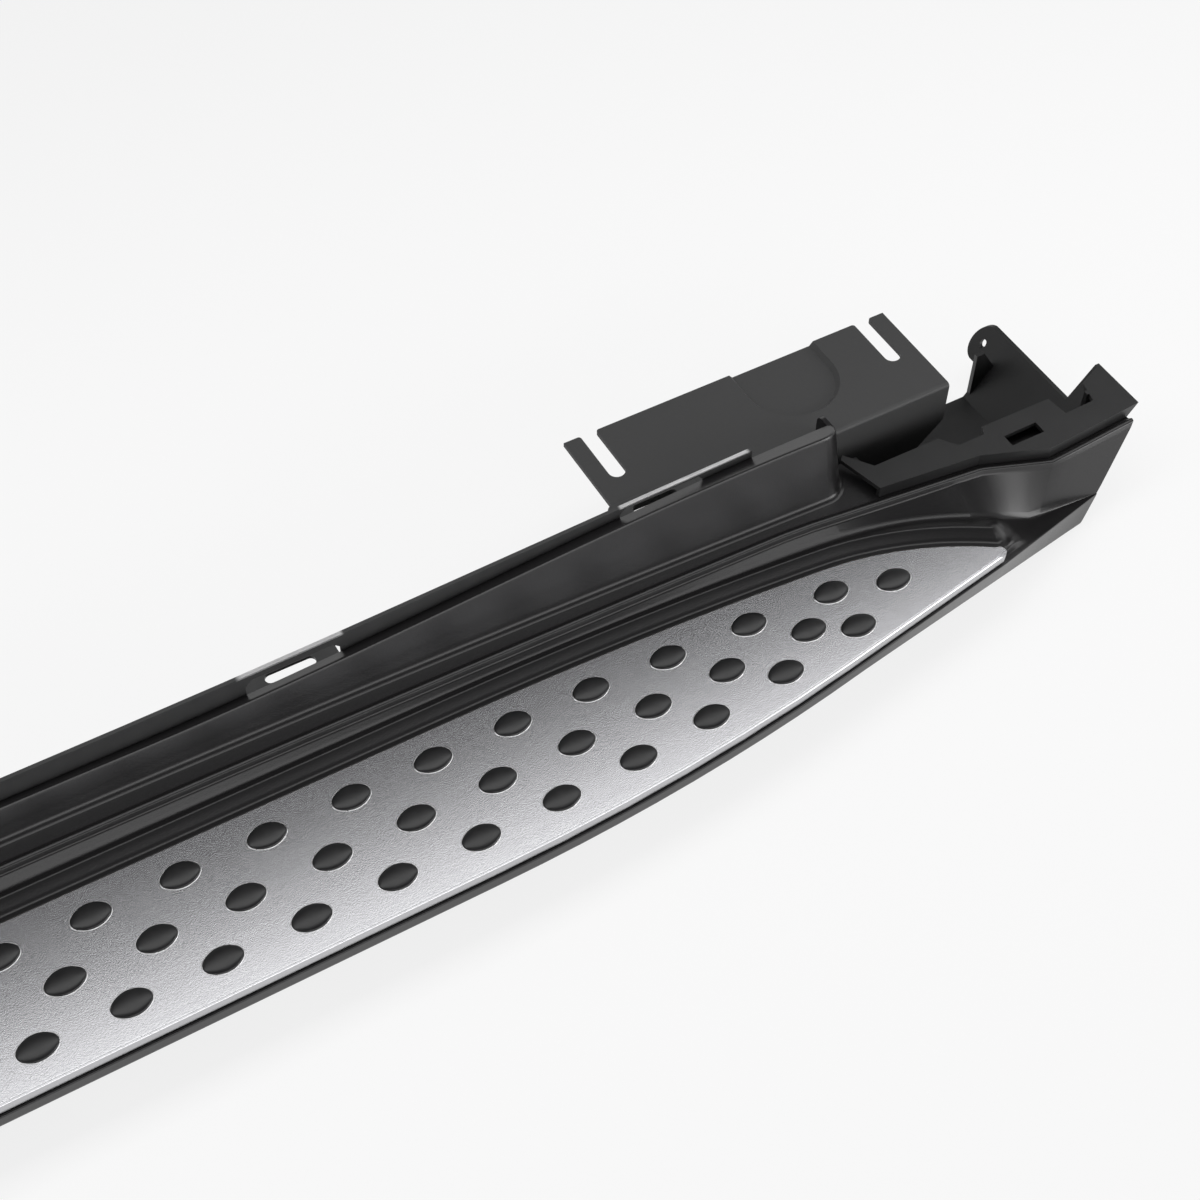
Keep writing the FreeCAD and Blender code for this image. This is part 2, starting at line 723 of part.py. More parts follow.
def make_stud(x, y):
    """Foot in the plate's hole, and a low dome that stands proud of it."""
    base = plate_under + seat_gap / 3
    shoulder = plate_top + 0.35 * size("stud_rise")
    top = plate_top + size("stud_rise")
    stem = Part.Face(oval(x, y, base, 0.0)).extrude(Vector(0, 0, shoulder - base))
    dome = Part.makeLoft([oval(x, y, shoulder, 0.0), oval(x, y, top, -3.2)], True, True)
    return stem.fuse(dome)


tray_cells = [0.0, bend_start, bend_start + 0.4 * size("front_bend_length"), turn_start, tray_half]
beam_half = tray_half - size("beam_inset_end")


def belly_inside(x, z):
    """Where the inner face of the cover's belly lies at one height."""
    foot_y, foot_z = lip_foot(x)
    belly_y = foot_y + foot_z / size("belly_slope") + 1.5 * wall
    inner_y = foot_y + 2.2 * wall
    return belly_y + (inner_y - belly_y) * (z - 0.5) / (foot_z + 0.5 * wall - 0.5)


def windows():
    """Middle and top of each window in the right half of the web."""
    outer = tray_half - size("window_inset")
    inner = outer - size("window_pitch")
    return [
        (inner, web_top(inner) - size("inner_window_cover")),
        (outer, web_top(outer) - size("window_cover")),
    ]


def tab_slot(centre, low, height):
    """Oblong hole of a tab, along X."""
    radius = size("tab_slot_width") / 2
    run = size("tab_slot_length") / 2 - radius
    y = web_front + size("web_sheet") + radius + 1.0
    hole = box(centre - run, centre + run, y - radius, y + radius, low, low + height)
    for x in (centre - run, centre + run):
        hole = hole.fuse(Part.makeCylinder(radius, height, Vector(x, y, low)))
    return hole


def rivet_places():
    """Rivets between the tray and the beam, at both ends, two in each row across."""
    near = lip_y + size("beam_inset") + 0.25 * size("beam_width")
    far = lip_y + size("beam_inset") + 0.75 * size("beam_width")
    places = []
    for index in range(rivet_rows):
        x = size("boss_pitch") * (index + 0.4)
        for side in (x, -x):
            places += [(side, near), (side, far)]
    return places


# Folded tray: a floor inside the cover and a web behind the upstand
def make_tray():
    half = tray_half
    low = size("tray_lift")
    sheet_t = size("tray_sheet")
    back = web_front + size("web_sheet")
    # The front edge follows the cover's belly inwards to the ends
    outline = [Vector(x, belly_inside(x, low) + size("tray_front_gap"), low) for x in tray_cells]
    outline += [Vector(half, back, low), Vector(0.0, back, low)]
    floor = prism(outline, Vector(0, 0, sheet_t))
    web = box(0.0, half, web_front, back, low, tread + size("web_high") + 20.0)
    web = web.common(under_profile(web_top, 0.0, 0.0))
    tray = floor.fuse(web).removeSplitter()
    fold = [e for e in tray.Edges if abs(e.BoundBox.YMin - back) < 0.01 and abs(e.BoundBox.ZMax - low) < 0.01]
    tray = tray.makeFillet(size("web_sheet") * 0.9, fold)
    step_x = upstand_end - size("web_step_inset")
    step_z = web_top(step_x) - size("web_step_drop")
    tray = tray.cut(box(step_x, half + 1, web_front - 1, back + 1, step_z, 2 * step_z))
    for centre, top in windows():
        low_edge = top - size("window_height")
        half_w = size("window_width") / 2
        cut = size("window_chamfer")
        points = [
            Vector(centre - half_w, web_front - 1, low_edge),
            Vector(centre - half_w, web_front - 1, top - cut),
            Vector(centre - half_w + cut, web_front - 1, top),
            Vector(centre + half_w - cut, web_front - 1, top),
            Vector(centre + half_w, web_front - 1, top - cut),
            Vector(centre + half_w, web_front - 1, low_edge),
        ]
        tray = tray.cut(prism(points, Vector(0, size("web_sheet") + 2, 0)))
        # The window's metal is folded back at its lower edge as a slotted tab
        tab_back = web_front + size("tab_reach")
        tab = box(centre - half_w, centre + half_w, web_front, tab_back, low_edge, low_edge + sheet_t)
        outer_edges = [e for e in tab.Edges if e.BoundBox.YMin > tab_back - 0.01 and e.BoundBox.ZLength > 1.0]
        tab = tab.makeFillet(cut, outer_edges)
        tray = tray.fuse(tab.cut(tab_slot(centre, low_edge - 1, sheet_t + 2)))
    tray = both_halves(tray)
    holes = []
    for x in bolt_places():
        start = Vector(x, web_front - 5, bolt_z)
        holes.append(Part.makeCylinder(size("bolt_size") / 2 + 0.25, 20.0, start, Vector(0, 1, 0)))
    for x in boss_places():
        for side in (x, -x):
            start = Vector(side, boss_y, low - 1.0)
            holes.append(Part.makeCylinder(size("screw_size") / 2 + 0.3, sheet_t + 2.0, start))
    for x, y in rivet_places():
        start = Vector(x, y, low - 1.0)
        holes.append(Part.makeCylinder(size("rivet_size") / 2 + 0.05, sheet_t + 2.0, start))
    return tray.cut(Part.makeCompound(holes))


bolt_z = tread + size("bracket_top") - size("bolt_drop")
bracket_front = web_front + size("web_sheet")


def bolt_places():
    near = bracket_centre - size("bolt_offset")
    places = []
    for x in (near, near + size("bolt_spacing")):
        places += [x, -x]
    return places


# End cap: a cut-out flange on the deck, a floor behind it and a raked end wall with tabs
def cap_x(z):
    return board_half + (z - bead_z) * size("end_rake")


def make_cap():
    t = size("cap_plate")
    top = tread + size("cap_rise")
    start = cap_start
    end = cap_x(top) + 2.0
    edge = cap_front - size("cap_inset")

    def along_bead(x):
        return x, bead_line(x) + size("cap_bead_gap")

    flange_points = [
        (start - 19.0, edge + 54.0),
        (start - 22.0, edge + 51.0),
        along_bead(start - 14.0),
        along_bead(board_half - size("sweep_setback")),
        along_bead(fold_x),
        along_bead(end),
        (end, edge + 40.0),
        (end - 22.0, edge + 31.0),
        (end - 26.0, edge + 15.5),
        (end - 48.0, edge + 15.0),
        (end - 50.0, edge + 30.5),
        (start + 71.0, edge + 31.5),
        (start + 68.0, edge + 25.5),
        (start + 49.0, edge + 25.5),
        (start + 41.0, edge + 36.5),
        (start - 6.5, edge + 37.0),
    ]
    flange = prism([Vector(x, y, top - t) for x, y in flange_points], Vector(0, 0, t))
    slot = box(start + 78.0, start + 102.5, edge + 9.0, edge + 18.0, top - 10, top + 5)
    skirt_line = flange_points[2:6]
    skirt_points = [Vector(x, y, deck_z + seat_gap) for x, y in skirt_line]
    skirt_points += [Vector(x, y + t, deck_z + seat_gap) for x, y in reversed(skirt_line)]
    skirt = prism(skirt_points, Vector(0, 0, top - deck_z - seat_gap))
    front = cap_front
    floor_low = 1.0
    floor = box(start, end, front, cap_back_y, floor_low, floor_low + t)
    front_wall = box(start, end, front, front + t, floor_low, top)
    # The wall leaves the flange's outer notch open
    front_wall = front_wall.cut(box(end - 50.0, end - 26.0, front - 1, front + t + 1, bead_z - 15.5, top + 1))
    cavity = box(start, end + 40, front, lip_y + size("cap_tab_inset"), 0.0, top)
    end_wall = cavity.common(beyond_end(wall)).cut(beyond_end(0.0))
    # Above the tray the end wall drops to a long strip with a rounded tab
    strip_top = tread - size("cap_wall_drop")
    rise_y = edge + 40.0
    end_wall = end_wall.cut(box(start, 2 * end, rise_y, depth, strip_top, 2 * top))
    tab_low = strip_top - 20.0
    end_wall = end_wall.cut(box(start, 2 * end, cap_back_y, depth, -t, tab_low))
    tab_back = lip_y + size("cap_tab_inset")
    tab_round = (strip_top - tab_low) / 2
    tab_z = strip_top - tab_round
    corners = box(start, end + 40, tab_back - tab_round, tab_back + 1, tab_low - 1, strip_top + 1)
    rod = Part.makeCylinder(tab_round, end + 40 - start, Vector(start, tab_back - tab_round, tab_z), Vector(1, 0, 0))
    end_wall = end_wall.cut(corners.cut(rod))
    gusset_x = cap_x(floor_low) + 2.0
    gusset_points = [
        Vector(gusset_x, cap_back_y - t, floor_low),
        Vector(gusset_x, cap_back_y - t, strip_top + 2.0),
        Vector(gusset_x + 6.0, cap_back_y - t, strip_top + 2.0),
        Vector(cap_x(strip_top - 16.0), cap_back_y - t, strip_top - 16.0),
        Vector(cap_x(floor_low + 1.0), cap_back_y - t, floor_low),
    ]
    gusset = prism(gusset_points, Vector(0, t, 0))
    cap = flange.fuse(skirt).fuse(floor).fuse(front_wall).fuse(end_wall).fuse(gusset)
    cap = cap.cut(slot).cut(beyond_end(0.0))
    for y, z in ((tab_back - tab_round, tab_z), (edge + 53.0, strip_top - 14.0)):
        x = cap_x(z)
        cap = cap.cut(Part.makeCylinder(2.5, 30.0, Vector(x - 15.0, y, z), Vector(1, 0, 0)))
    for x in cap_screw_places():
        if x > 0:
            seat = Vector(x, front - 1.0, size("cap_screw_height"))
            cap = cap.cut(Part.makeCylinder(size("screw_size") / 2 + 0.3, t + 2.0, seat, Vector(0, 1, 0)))
    return cap.removeSplitter()


# Plain pieces are objects tied to the sheet; these are the places that they share
UPSTAND_END = "(Sizes.board_half - Sizes.upstand_setback)"
TRAY_HALF = "(%s - Sizes.tray_inset)" % UPSTAND_END
BEAM_HALF = "(%s - Sizes.beam_inset_end)" % TRAY_HALF
BEAM_FRONT = "(Sizes.beam_inset - Sizes.depth / 2)"
BEAM_BACK = "(%s + Sizes.beam_width)" % BEAM_FRONT
BEAM_LOW = "(Sizes.tray_lift + Sizes.tray_sheet)"
BEAM_HIGH = "(Sizes.tread_height - Sizes.plate_sheet - Sizes.wall - Sizes.seat_gap)"
WEB_FRONT = "(Sizes.deck_inset - Sizes.depth / 2 + Sizes.wall + 0.5)"
BRACKET_CENTRE = "(%s - Sizes.bracket_inset)" % TRAY_HALF
BRACKET_FRONT = "(%s + Sizes.web_sheet)" % WEB_FRONT
BRACKET_BACK = "(Sizes.depth / 2)"
BRACKET_TOP = "(Sizes.tread_height + Sizes.bracket_top)"
BRACKET_UNDER = "(%s - Sizes.bracket_sheet)" % BRACKET_TOP
BOLT_SEAT = "(%s + Sizes.bracket_sheet)" % BRACKET_FRONT
BOLT_Z = "(Sizes.tread_height + Sizes.bracket_top - Sizes.bolt_drop)"
BOLT_NEAR = "(%s - Sizes.bolt_offset)" % BRACKET_CENTRE
BOLT_FAR = "(%s + Sizes.bolt_spacing)" % BOLT_NEAR
CAP_SCREW_NEAR = "(%s + Sizes.cap_clearance + Sizes.cap_screw_start)" % UPSTAND_END
CAP_SCREW_FAR = "(%s + Sizes.cap_screw_spacing)" % CAP_SCREW_NEAR
CAP_SCREW_SEAT = "(Sizes.end_deck_inset - Sizes.depth / 2 + Sizes.seat_gap + Sizes.cap_plate)"
BOSS_Y = "(Sizes.boss_inset - Sizes.depth / 2)"
UP = Vector(0, 0, 1)
DOWN = Vector(0, 0, -1)
FORWARDS = Vector(0, -1, 0)
BACKWARDS = Vector(0, 1, 0)


def bind(item, x, y, z, axis, **sizes):
    """Ties an object's sizes and place to the sheet; its own Z axis points along axis."""
    item.Placement = FreeCAD.Placement(Vector(0, 0, 0), FreeCAD.Rotation(UP, axis))
    for name, expression in sizes.items():
        item.setExpression(name, expression)
    item.setExpression(".Placement.Base.x", x)
    item.setExpression(".Placement.Base.y", y)
    item.setExpression(".Placement.Base.z", z)
    return item


def block(x0, x1, y0, y1, z0, z1):
    item = doc.addObject("Part::Box", "block")
    length = "(%s) - (%s)" % (x1, x0)
    width = "(%s) - (%s)" % (y1, y0)
    height = "(%s) - (%s)" % (z1, z0)
    return bind(item, x0, y0, z0, UP, Length=length, Width=width, Height=height)


def rod(radius, height, x, y, z, axis):
    item = doc.addObject("Part::Cylinder", "rod")
    return bind(item, x, y, z, axis, Radius=radius, Height=height)


def cone(low_radius, high_radius, height, x, y, z, axis):
    item = doc.addObject("Part::Cone", "cone")
    return bind(item, x, y, z, axis, Radius1=low_radius, Radius2=high_radius, Height=height)


def hexagon(across, height, x, y, z, axis):
    item = doc.addObject("Part::Prism", "hexagon")
    item.Polygon = 6
    return bind(item, x, y, z, axis, Circumradius=across + " / sqrt(3)", Height=height)


def without(base, tool):
    item = doc.addObject("Part::Cut", "cut")
    item.Base = base
    item.Tool = tool
    return item


def joined(pieces):
    item = doc.addObject("Part::MultiFuse", "joined")
    item.Shapes = pieces
    item.Refine = True
    return item


def gathered(pieces):
    item = doc.addObject("Part::Compound", "pieces")
    item.Links = pieces
    return item


def other_end(source):
    item = doc.addObject("Part::Mirroring", "mirrored")
    item.Source = source
    item.Normal = Vector(1, 0, 0)
    item.Base = Vector(0, 0, 0)
    return item


def rivet_spots():
    """The rivets' places as expressions, the same as in rivet_places."""
    spots = []
    for index in range(rivet_rows):
        for side in ("", "-"):
            for share in ("0.25", "0.75"):
                x = "%s%.1f * Sizes.boss_pitch" % (side, index + 0.4)
                spots.append((x, "%s + %s * Sizes.beam_width" % (BEAM_FRONT, share)))
    return spots


# Beam: a closed tube below the tread, on the tray's floor
def make_beam():
    t = "Sizes.beam_wall"
    outer = block("-" + BEAM_HALF, BEAM_HALF, BEAM_FRONT, BEAM_BACK, BEAM_LOW, BEAM_HIGH)
    inner = block(
        "-%s - 1" % BEAM_HALF, "%s + 1" % BEAM_HALF,
        "%s + %s" % (BEAM_FRONT, t), "%s - %s" % (BEAM_BACK, t),
        "%s + %s" % (BEAM_LOW, t), "%s - %s" % (BEAM_HIGH, t),
    )
    holes = []
    for x, y in rivet_spots():
        holes.append(rod("Sizes.rivet_size / 2 + 0.05", t + " + 2", x, y, BEAM_LOW + " - 1", UP))
    return without(without(outer, inner), gathered(holes))


def make_plugs():
    """Cup-shaped plastic plugs in the beam's open ends."""
    gap = "Sizes.seat_gap / 3"
    fit = "Sizes.beam_wall + Sizes.seat_gap / 3"
    flange = block(
        BEAM_HALF, "%s + Sizes.plug_flange" % BEAM_HALF,
        BEAM_FRONT, BEAM_BACK, "%s + %s" % (BEAM_LOW, gap), BEAM_HIGH,
    )
    cup = block(
        "%s - Sizes.plug_depth" % BEAM_HALF, BEAM_HALF,
        "%s + %s" % (BEAM_FRONT, fit), "%s - (%s)" % (BEAM_BACK, fit),
        "%s + %s" % (BEAM_LOW, fit), "%s - (%s)" % (BEAM_HIGH, fit),
    )
    hollow = block(
        "%s - Sizes.plug_depth - 1" % BEAM_HALF, BEAM_HALF,
        "%s + 2 * Sizes.beam_wall" % BEAM_FRONT, "%s - 2 * Sizes.beam_wall" % BEAM_BACK,
        "%s + 2 * Sizes.beam_wall" % BEAM_LOW, "%s - 2 * Sizes.beam_wall" % BEAM_HIGH,
    )
    plug = joined([flange, without(cup, hollow)])
    return gathered([plug, other_end(plug)])


def bolt_spots():
    return [BOLT_NEAR, "-" + BOLT_NEAR, BOLT_FAR, "-" + BOLT_FAR]


def tab_slot_tool(low, height):
    """Oblong hole of the tray's outer tab, as in tab_slot, for the bracket's plate."""
    centre = "(%s - Sizes.window_inset)" % TRAY_HALF
    run = "(Sizes.tab_slot_length / 2 - Sizes.tab_slot_width / 2)"
    front = "(%s + Sizes.web_sheet + 1)" % WEB_FRONT
    middle = "%s + Sizes.tab_slot_width / 2" % front
    pieces = [block(
        "%s - %s" % (centre, run), "%s + %s" % (centre, run),
        front, "%s + Sizes.tab_slot_width" % front, low, "%s + %s" % (low, height),
    )]
    for side in ("-", "+"):
        x = "%s %s %s" % (centre, side, run)
        pieces.append(rod("Sizes.tab_slot_width / 2", height, x, middle, low, UP))
    return joined(pieces)


def slot_tool(x):
    """Open slot in the bracket's back edge, its mouth rounded."""
    r = "Sizes.slot_width / 2"
    round_r = "Sizes.slot_rounding"
    low = BRACKET_UNDER + " - Sizes.slot_width"
    high = BRACKET_TOP + " + Sizes.slot_width"
    tall = "Sizes.bracket_sheet + 2 * Sizes.slot_width"
    slot_end = "%s - Sizes.slot_depth + %s" % (BRACKET_BACK, r)
    slot = block("%s - %s" % (x, r), "%s + %s" % (x, r), slot_end, BRACKET_BACK + " + 5", low, high)
    end = rod(r, tall, x, slot_end, low, UP)
    mouth = block(
        "%s - %s - %s" % (x, r, round_r), "%s + %s + %s" % (x, r, round_r),
        "%s - %s" % (BRACKET_BACK, round_r), BRACKET_BACK + " + 5", low, high,
    )
    lips = []
    for side in ("-", "+"):
        lip_x = "%s %s (%s + %s)" % (x, side, r, round_r)
        lips.append(rod(round_r, tall, lip_x, "%s - %s" % (BRACKET_BACK, round_r), low, UP))
    return joined([slot, end, without(mouth, gathered(lips))])


def swage_form(top, back):
    """Flat-bottomed dish with one round end, open to the bracket's back edge."""
    draft = "2.5"
    r = "Sizes.swage_width / 2"
    x = "%s + Sizes.swage_offset" % BRACKET_CENTRE
    run = "Sizes.swage_length - Sizes.swage_width / 2"
    floor = "%s - Sizes.swage_depth" % top
    end = cone("%s - %s" % (r, draft), r, "Sizes.swage_depth", x, "%s - (%s)" % (BRACKET_BACK, run), floor, UP)
    wedge = doc.addObject("Part::Wedge", "wedge")
    bind(
        wedge, x, back, floor, FORWARDS,
        Xmin="%s - %s" % (draft, r), Xmax="%s - %s" % (r, draft), X2min="-(%s)" % r, X2max=r,
        Ymin="0", Ymax="Sizes.swage_depth",
        Zmin="0", Z2min="0", Zmax="%s + %s - (%s)" % (run, back, BRACKET_BACK),
        Z2max="%s + %s - (%s)" % (run, back, BRACKET_BACK),
    )
    return joined([end, wedge])


# Bracket: a plate with two open slots and a pressed swage, folded down along its front
def make_bracket():
    t = "Sizes.bracket_sheet"
    left = "(%s - Sizes.bracket_width / 2)" % BRACKET_CENTRE
    right = "(%s + Sizes.bracket_width / 2)" % BRACKET_CENTRE
    low = "(%s - Sizes.bracket_drop)" % BRACKET_TOP
    bend = "0.9 * " + t
    rounded_y = "%s + %s" % (BRACKET_FRONT, bend)
    rounded_z = "%s - %s" % (BRACKET_TOP, bend)
    # Plate and flange meet in a rounded outer bend
    plate = block(left, right, rounded_y, BRACKET_BACK, BRACKET_UNDER, BRACKET_TOP)
    flange = block(left, right, BRACKET_FRONT, "%s + %s" % (BRACKET_FRONT, t), low, rounded_z)
    round_bend = rod(bend, "Sizes.bracket_width", left, rounded_y, rounded_z, Vector(1, 0, 0))
    inside_y = "%s + %s" % (BRACKET_FRONT, t)
    inside = block(left, right, inside_y, inside_y + " + 5", BRACKET_UNDER + " - 5", BRACKET_UNDER)
    round_bend = without(round_bend, inside)
    pressed = swage_form("%s - %s" % (BRACKET_TOP, t), BRACKET_BACK)
    behind = block(left, right, BRACKET_BACK, BRACKET_BACK + " + 20", low, BRACKET_TOP)
    pressed = without(pressed, behind)
    body = joined([plate, flange, round_bend, pressed])
    # The flange's outer lower corner is cut away at 45 degrees
    corner = doc.addObject("Part::Box", "corner")
    bind(
        corner, right + " + 2", BRACKET_FRONT + " - 5", low + " + Sizes.bracket_chamfer + 2",
        Vector(1, 0, -1),
        Length="(Sizes.bracket_chamfer + 4) * sqrt(2)", Width=t + " + 10", Height="Sizes.bracket_chamfer",
    )
    slots = []
    for side in ("-", "+"):
        slots.append(slot_tool("(%s %s Sizes.slot_spacing / 2)" % (BRACKET_CENTRE, side)))
    bolt_holes = []
    for x in (BOLT_NEAR, BOLT_FAR):
        hole_radius = "Sizes.bolt_size / 2 + 0.25"
        bolt_holes.append(rod(hole_radius, t + " + 10", x, BRACKET_FRONT + " - 5", BOLT_Z, BACKWARDS))
    # The tab of the tray's outer window lies on the plate, hole over hole
    tab_hole = tab_slot_tool(BRACKET_UNDER + " - 1", t + " + 2")
    body = without(body, swage_form(BRACKET_TOP, BRACKET_BACK + " + 1"))
    return without(body, gathered([corner, tab_hole] + slots + bolt_holes))


def make_bolt(x):
    """Head behind the bracket's flange, shank out through the web towards the front."""
    seat = BOLT_SEAT + " + Sizes.washer_sheet"
    length = "Sizes.washer_sheet + Sizes.bracket_sheet + Sizes.web_sheet + Sizes.nut_height + 1.5"
    head = hexagon("Sizes.bolt_head", "Sizes.bolt_head_height", x, seat, BOLT_Z, BACKWARDS)
    shank = rod("Sizes.bolt_size / 2", length, x, seat, BOLT_Z, FORWARDS)
    return joined([head, shank])


def make_washer(x):
    outer = rod("Sizes.washer_width / 2", "Sizes.washer_sheet", x, BOLT_SEAT, BOLT_Z, BACKWARDS)
    inner = rod("Sizes.bolt_size / 2 + 0.2", "Sizes.washer_sheet", x, BOLT_SEAT, BOLT_Z, BACKWARDS)
    return without(outer, inner)


def make_nut(x):
    body = hexagon("Sizes.bolt_head", "Sizes.nut_height", x, WEB_FRONT, BOLT_Z, FORWARDS)
    bore = rod("Sizes.bolt_size / 2 + 0.05", "Sizes.nut_height", x, WEB_FRONT, BOLT_Z, FORWARDS)
    return without(body, bore)


def make_screw(x, y, z, inwards):
    """Low head on the near side of the seat, shank beyond it."""
    slope = "Sizes.screw_head / 2 - 0.6 * Sizes.screw_head_height"
    head = cone("Sizes.screw_head / 2", slope, "Sizes.screw_head_height", x, y, z, inwards * -1)
    shank = rod("Sizes.screw_size / 2", "Sizes.screw_length", x, y, z, inwards)
    return joined([head, shank])


def make_rivet(x, y):
    """Blind rivet: low head under the tray, a wider tail inside the beam."""
    low = "Sizes.tray_lift"
    grip = "Sizes.tray_sheet + Sizes.beam_wall"
    slope = "Sizes.rivet_head / 2 - Sizes.rivet_head_height"
    head = cone("Sizes.rivet_head / 2", slope, "Sizes.rivet_head_height", x, y, low, DOWN)
    shank = rod("Sizes.rivet_size / 2", grip + " + Sizes.rivet_tail", x, y, low, UP)
    tail = rod("Sizes.rivet_size / 2 + 1.2", "Sizes.rivet_tail", x, y, low + " + " + grip, UP)
    return joined([head, shank, tail])


def tray_screws():
    screws = []
    for index in range(1, boss_count + 1):
        for side in (index, -index):
            screws.append(make_screw("%d * Sizes.boss_pitch" % side, BOSS_Y, "Sizes.tray_lift", UP))
    return gathered(screws)


def cap_screws():
    screws = []
    for x in (CAP_SCREW_NEAR, "-" + CAP_SCREW_NEAR, CAP_SCREW_FAR, "-" + CAP_SCREW_FAR):
        screws.append(make_screw(x, CAP_SCREW_SEAT, "Sizes.cap_screw_height", FORWARDS))
    return gathered(screws)


def set_node(name, shape):
    """A free form: its shape is set from the sheet's sizes."""
    node = doc.addObject("Part::Feature", name)
    node.Label = name
    node.Shape = shape
    return node


def tied_node(name, item):
    item.Label = name
    return item


bracket_right = tied_node("bracket_right", make_bracket())
end_cap_right = set_node("end_cap_right", make_cap())
nodes = [
    set_node("step_cover", make_cover()),
    set_node("tread_plate", make_plate()),
    set_node("tread_studs", Part.makeCompound([make_stud(x, y) for x, y in all_studs])),
    set_node("support_tray", make_tray()),
    bracket_right,
    tied_node("bracket_left", other_end(bracket_right)),
    end_cap_right,
    tied_node("end_cap_left", other_end(end_cap_right)),
    tied_node("tread_beam", make_beam()),
    tied_node("beam_plugs", make_plugs()),
    tied_node("beam_rivets", gathered([make_rivet(x, y) for x, y in rivet_spots()])),
    tied_node("tray_screws", tray_screws()),
    tied_node("cap_screws", cap_screws()),
    tied_node("bracket_bolts", gathered([make_bolt(x) for x in bolt_spots()])),
    tied_node("bracket_washers", gathered([make_washer(x) for x in bolt_spots()])),
    tied_node("bracket_nuts", gathered([make_nut(x) for x in bolt_spots()])),
]

doc.recompute()
for item in doc.Objects:
    if "Invalid" in item.State or "Error" in item.State:
        raise RuntimeError("failed object: " + item.Label)
for node in nodes:
    if node.Shape.isNull() or not node.Shape.isValid():
        raise RuntimeError("bad shape: " + node.Label)
    node.Shape.exportStep("parts/%s.step" % node.Label)
    print(node.Label, len(node.Shape.Solids), "solids", round(node.Shape.Volume / 1000), "cm3")
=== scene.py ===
# %% [markdown]
# # A vehicle side step, dressed for a product picture
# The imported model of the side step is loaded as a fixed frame. Each cell below makes one
# piece or one finish, says what it is on the real product, and says why it is made that way.

# %%
import math
import bpy
import bmesh
from mathutils import Matrix, Vector


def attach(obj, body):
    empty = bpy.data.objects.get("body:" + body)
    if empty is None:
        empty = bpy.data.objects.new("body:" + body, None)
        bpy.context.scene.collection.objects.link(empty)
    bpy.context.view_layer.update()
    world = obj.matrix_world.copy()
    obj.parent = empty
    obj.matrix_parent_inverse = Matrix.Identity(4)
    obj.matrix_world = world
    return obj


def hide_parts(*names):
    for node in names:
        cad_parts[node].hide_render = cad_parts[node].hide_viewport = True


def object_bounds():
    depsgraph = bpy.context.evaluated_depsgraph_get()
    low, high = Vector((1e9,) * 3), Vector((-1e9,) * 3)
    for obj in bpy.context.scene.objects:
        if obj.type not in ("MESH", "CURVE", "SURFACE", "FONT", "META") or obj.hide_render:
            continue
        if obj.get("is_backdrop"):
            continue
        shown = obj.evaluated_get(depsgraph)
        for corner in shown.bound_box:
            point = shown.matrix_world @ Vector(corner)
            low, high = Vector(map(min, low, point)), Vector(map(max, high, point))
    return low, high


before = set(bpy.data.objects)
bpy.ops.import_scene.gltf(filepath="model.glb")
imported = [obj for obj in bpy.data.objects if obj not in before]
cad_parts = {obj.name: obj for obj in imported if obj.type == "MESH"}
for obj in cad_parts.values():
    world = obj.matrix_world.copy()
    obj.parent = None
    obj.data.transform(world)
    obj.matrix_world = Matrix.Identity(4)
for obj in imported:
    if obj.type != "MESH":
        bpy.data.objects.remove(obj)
low_corner, high_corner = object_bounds()
MM = 0.001
print("nodes:", sorted(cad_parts))


# %% [markdown]
# ## Shader maths that reads like arithmetic
# A material's maths is easier to follow as `a * b + c` than as a list of nodes and links.
# `Field` wraps one output of a node tree and adds a Math node for each operator.

# %%
class Field:
    """One value or colour in a node tree, with arithmetic that adds nodes."""

    def __init__(self, tree, socket):
        self.tree = tree
        self.socket = socket

    def math(self, operation, *values):
        node = self.tree.nodes.new("ShaderNodeMath")
        node.operation = operation
        for slot_index, value in enumerate((self,) + values):
            plug(self.tree, node.inputs[slot_index], value)
        return Field(self.tree, node.outputs[0])

    def __add__(self, other):
        return self.math("ADD", other)

    __radd__ = __add__

    def __mul__(self, other):
        return self.math("MULTIPLY", other)

    __rmul__ = __mul__

    def __sub__(self, other):
        return self.math("SUBTRACT", other)

    def __rsub__(self, other):
        return self.math("MULTIPLY", -1.0).math("ADD", other)

    def __abs__(self):
        return self.math("ABSOLUTE")

    def step(self, start, end):
        """Smooth change from 0 to 1 as this value goes from start to end."""
        node = self.tree.nodes.new("ShaderNodeMapRange")
        node.interpolation_type = "SMOOTHSTEP"
        plug(self.tree, node.inputs["Value"], self)
        node.inputs["From Min"].default_value = start
        node.inputs["From Max"].default_value = end
        return Field(self.tree, node.outputs["Result"])

    def mix(self, first, second):
        """Colour between first and second, by this value from 0 to 1."""
        node = self.tree.nodes.new("ShaderNodeMix")
        node.data_type = "RGBA"
        plug(self.tree, node.inputs["Factor"], self)
        for name, colour in (("A", first), ("B", second)):
            sockets = [s for s in node.inputs if s.name == name and s.type == "RGBA"]
            plug(self.tree, sockets[0], colour if isinstance(colour, Field) else (*colour, 1.0))
        result = [s for s in node.outputs if s.type == "RGBA"]
        return Field(self.tree, result[0])


def plug(tree, socket, value):
    """Links a Field to a socket, or writes a plain value into it."""
    if isinstance(value, Field):
        tree.links.new(value.socket, socket)
    else:
        socket.default_value = value


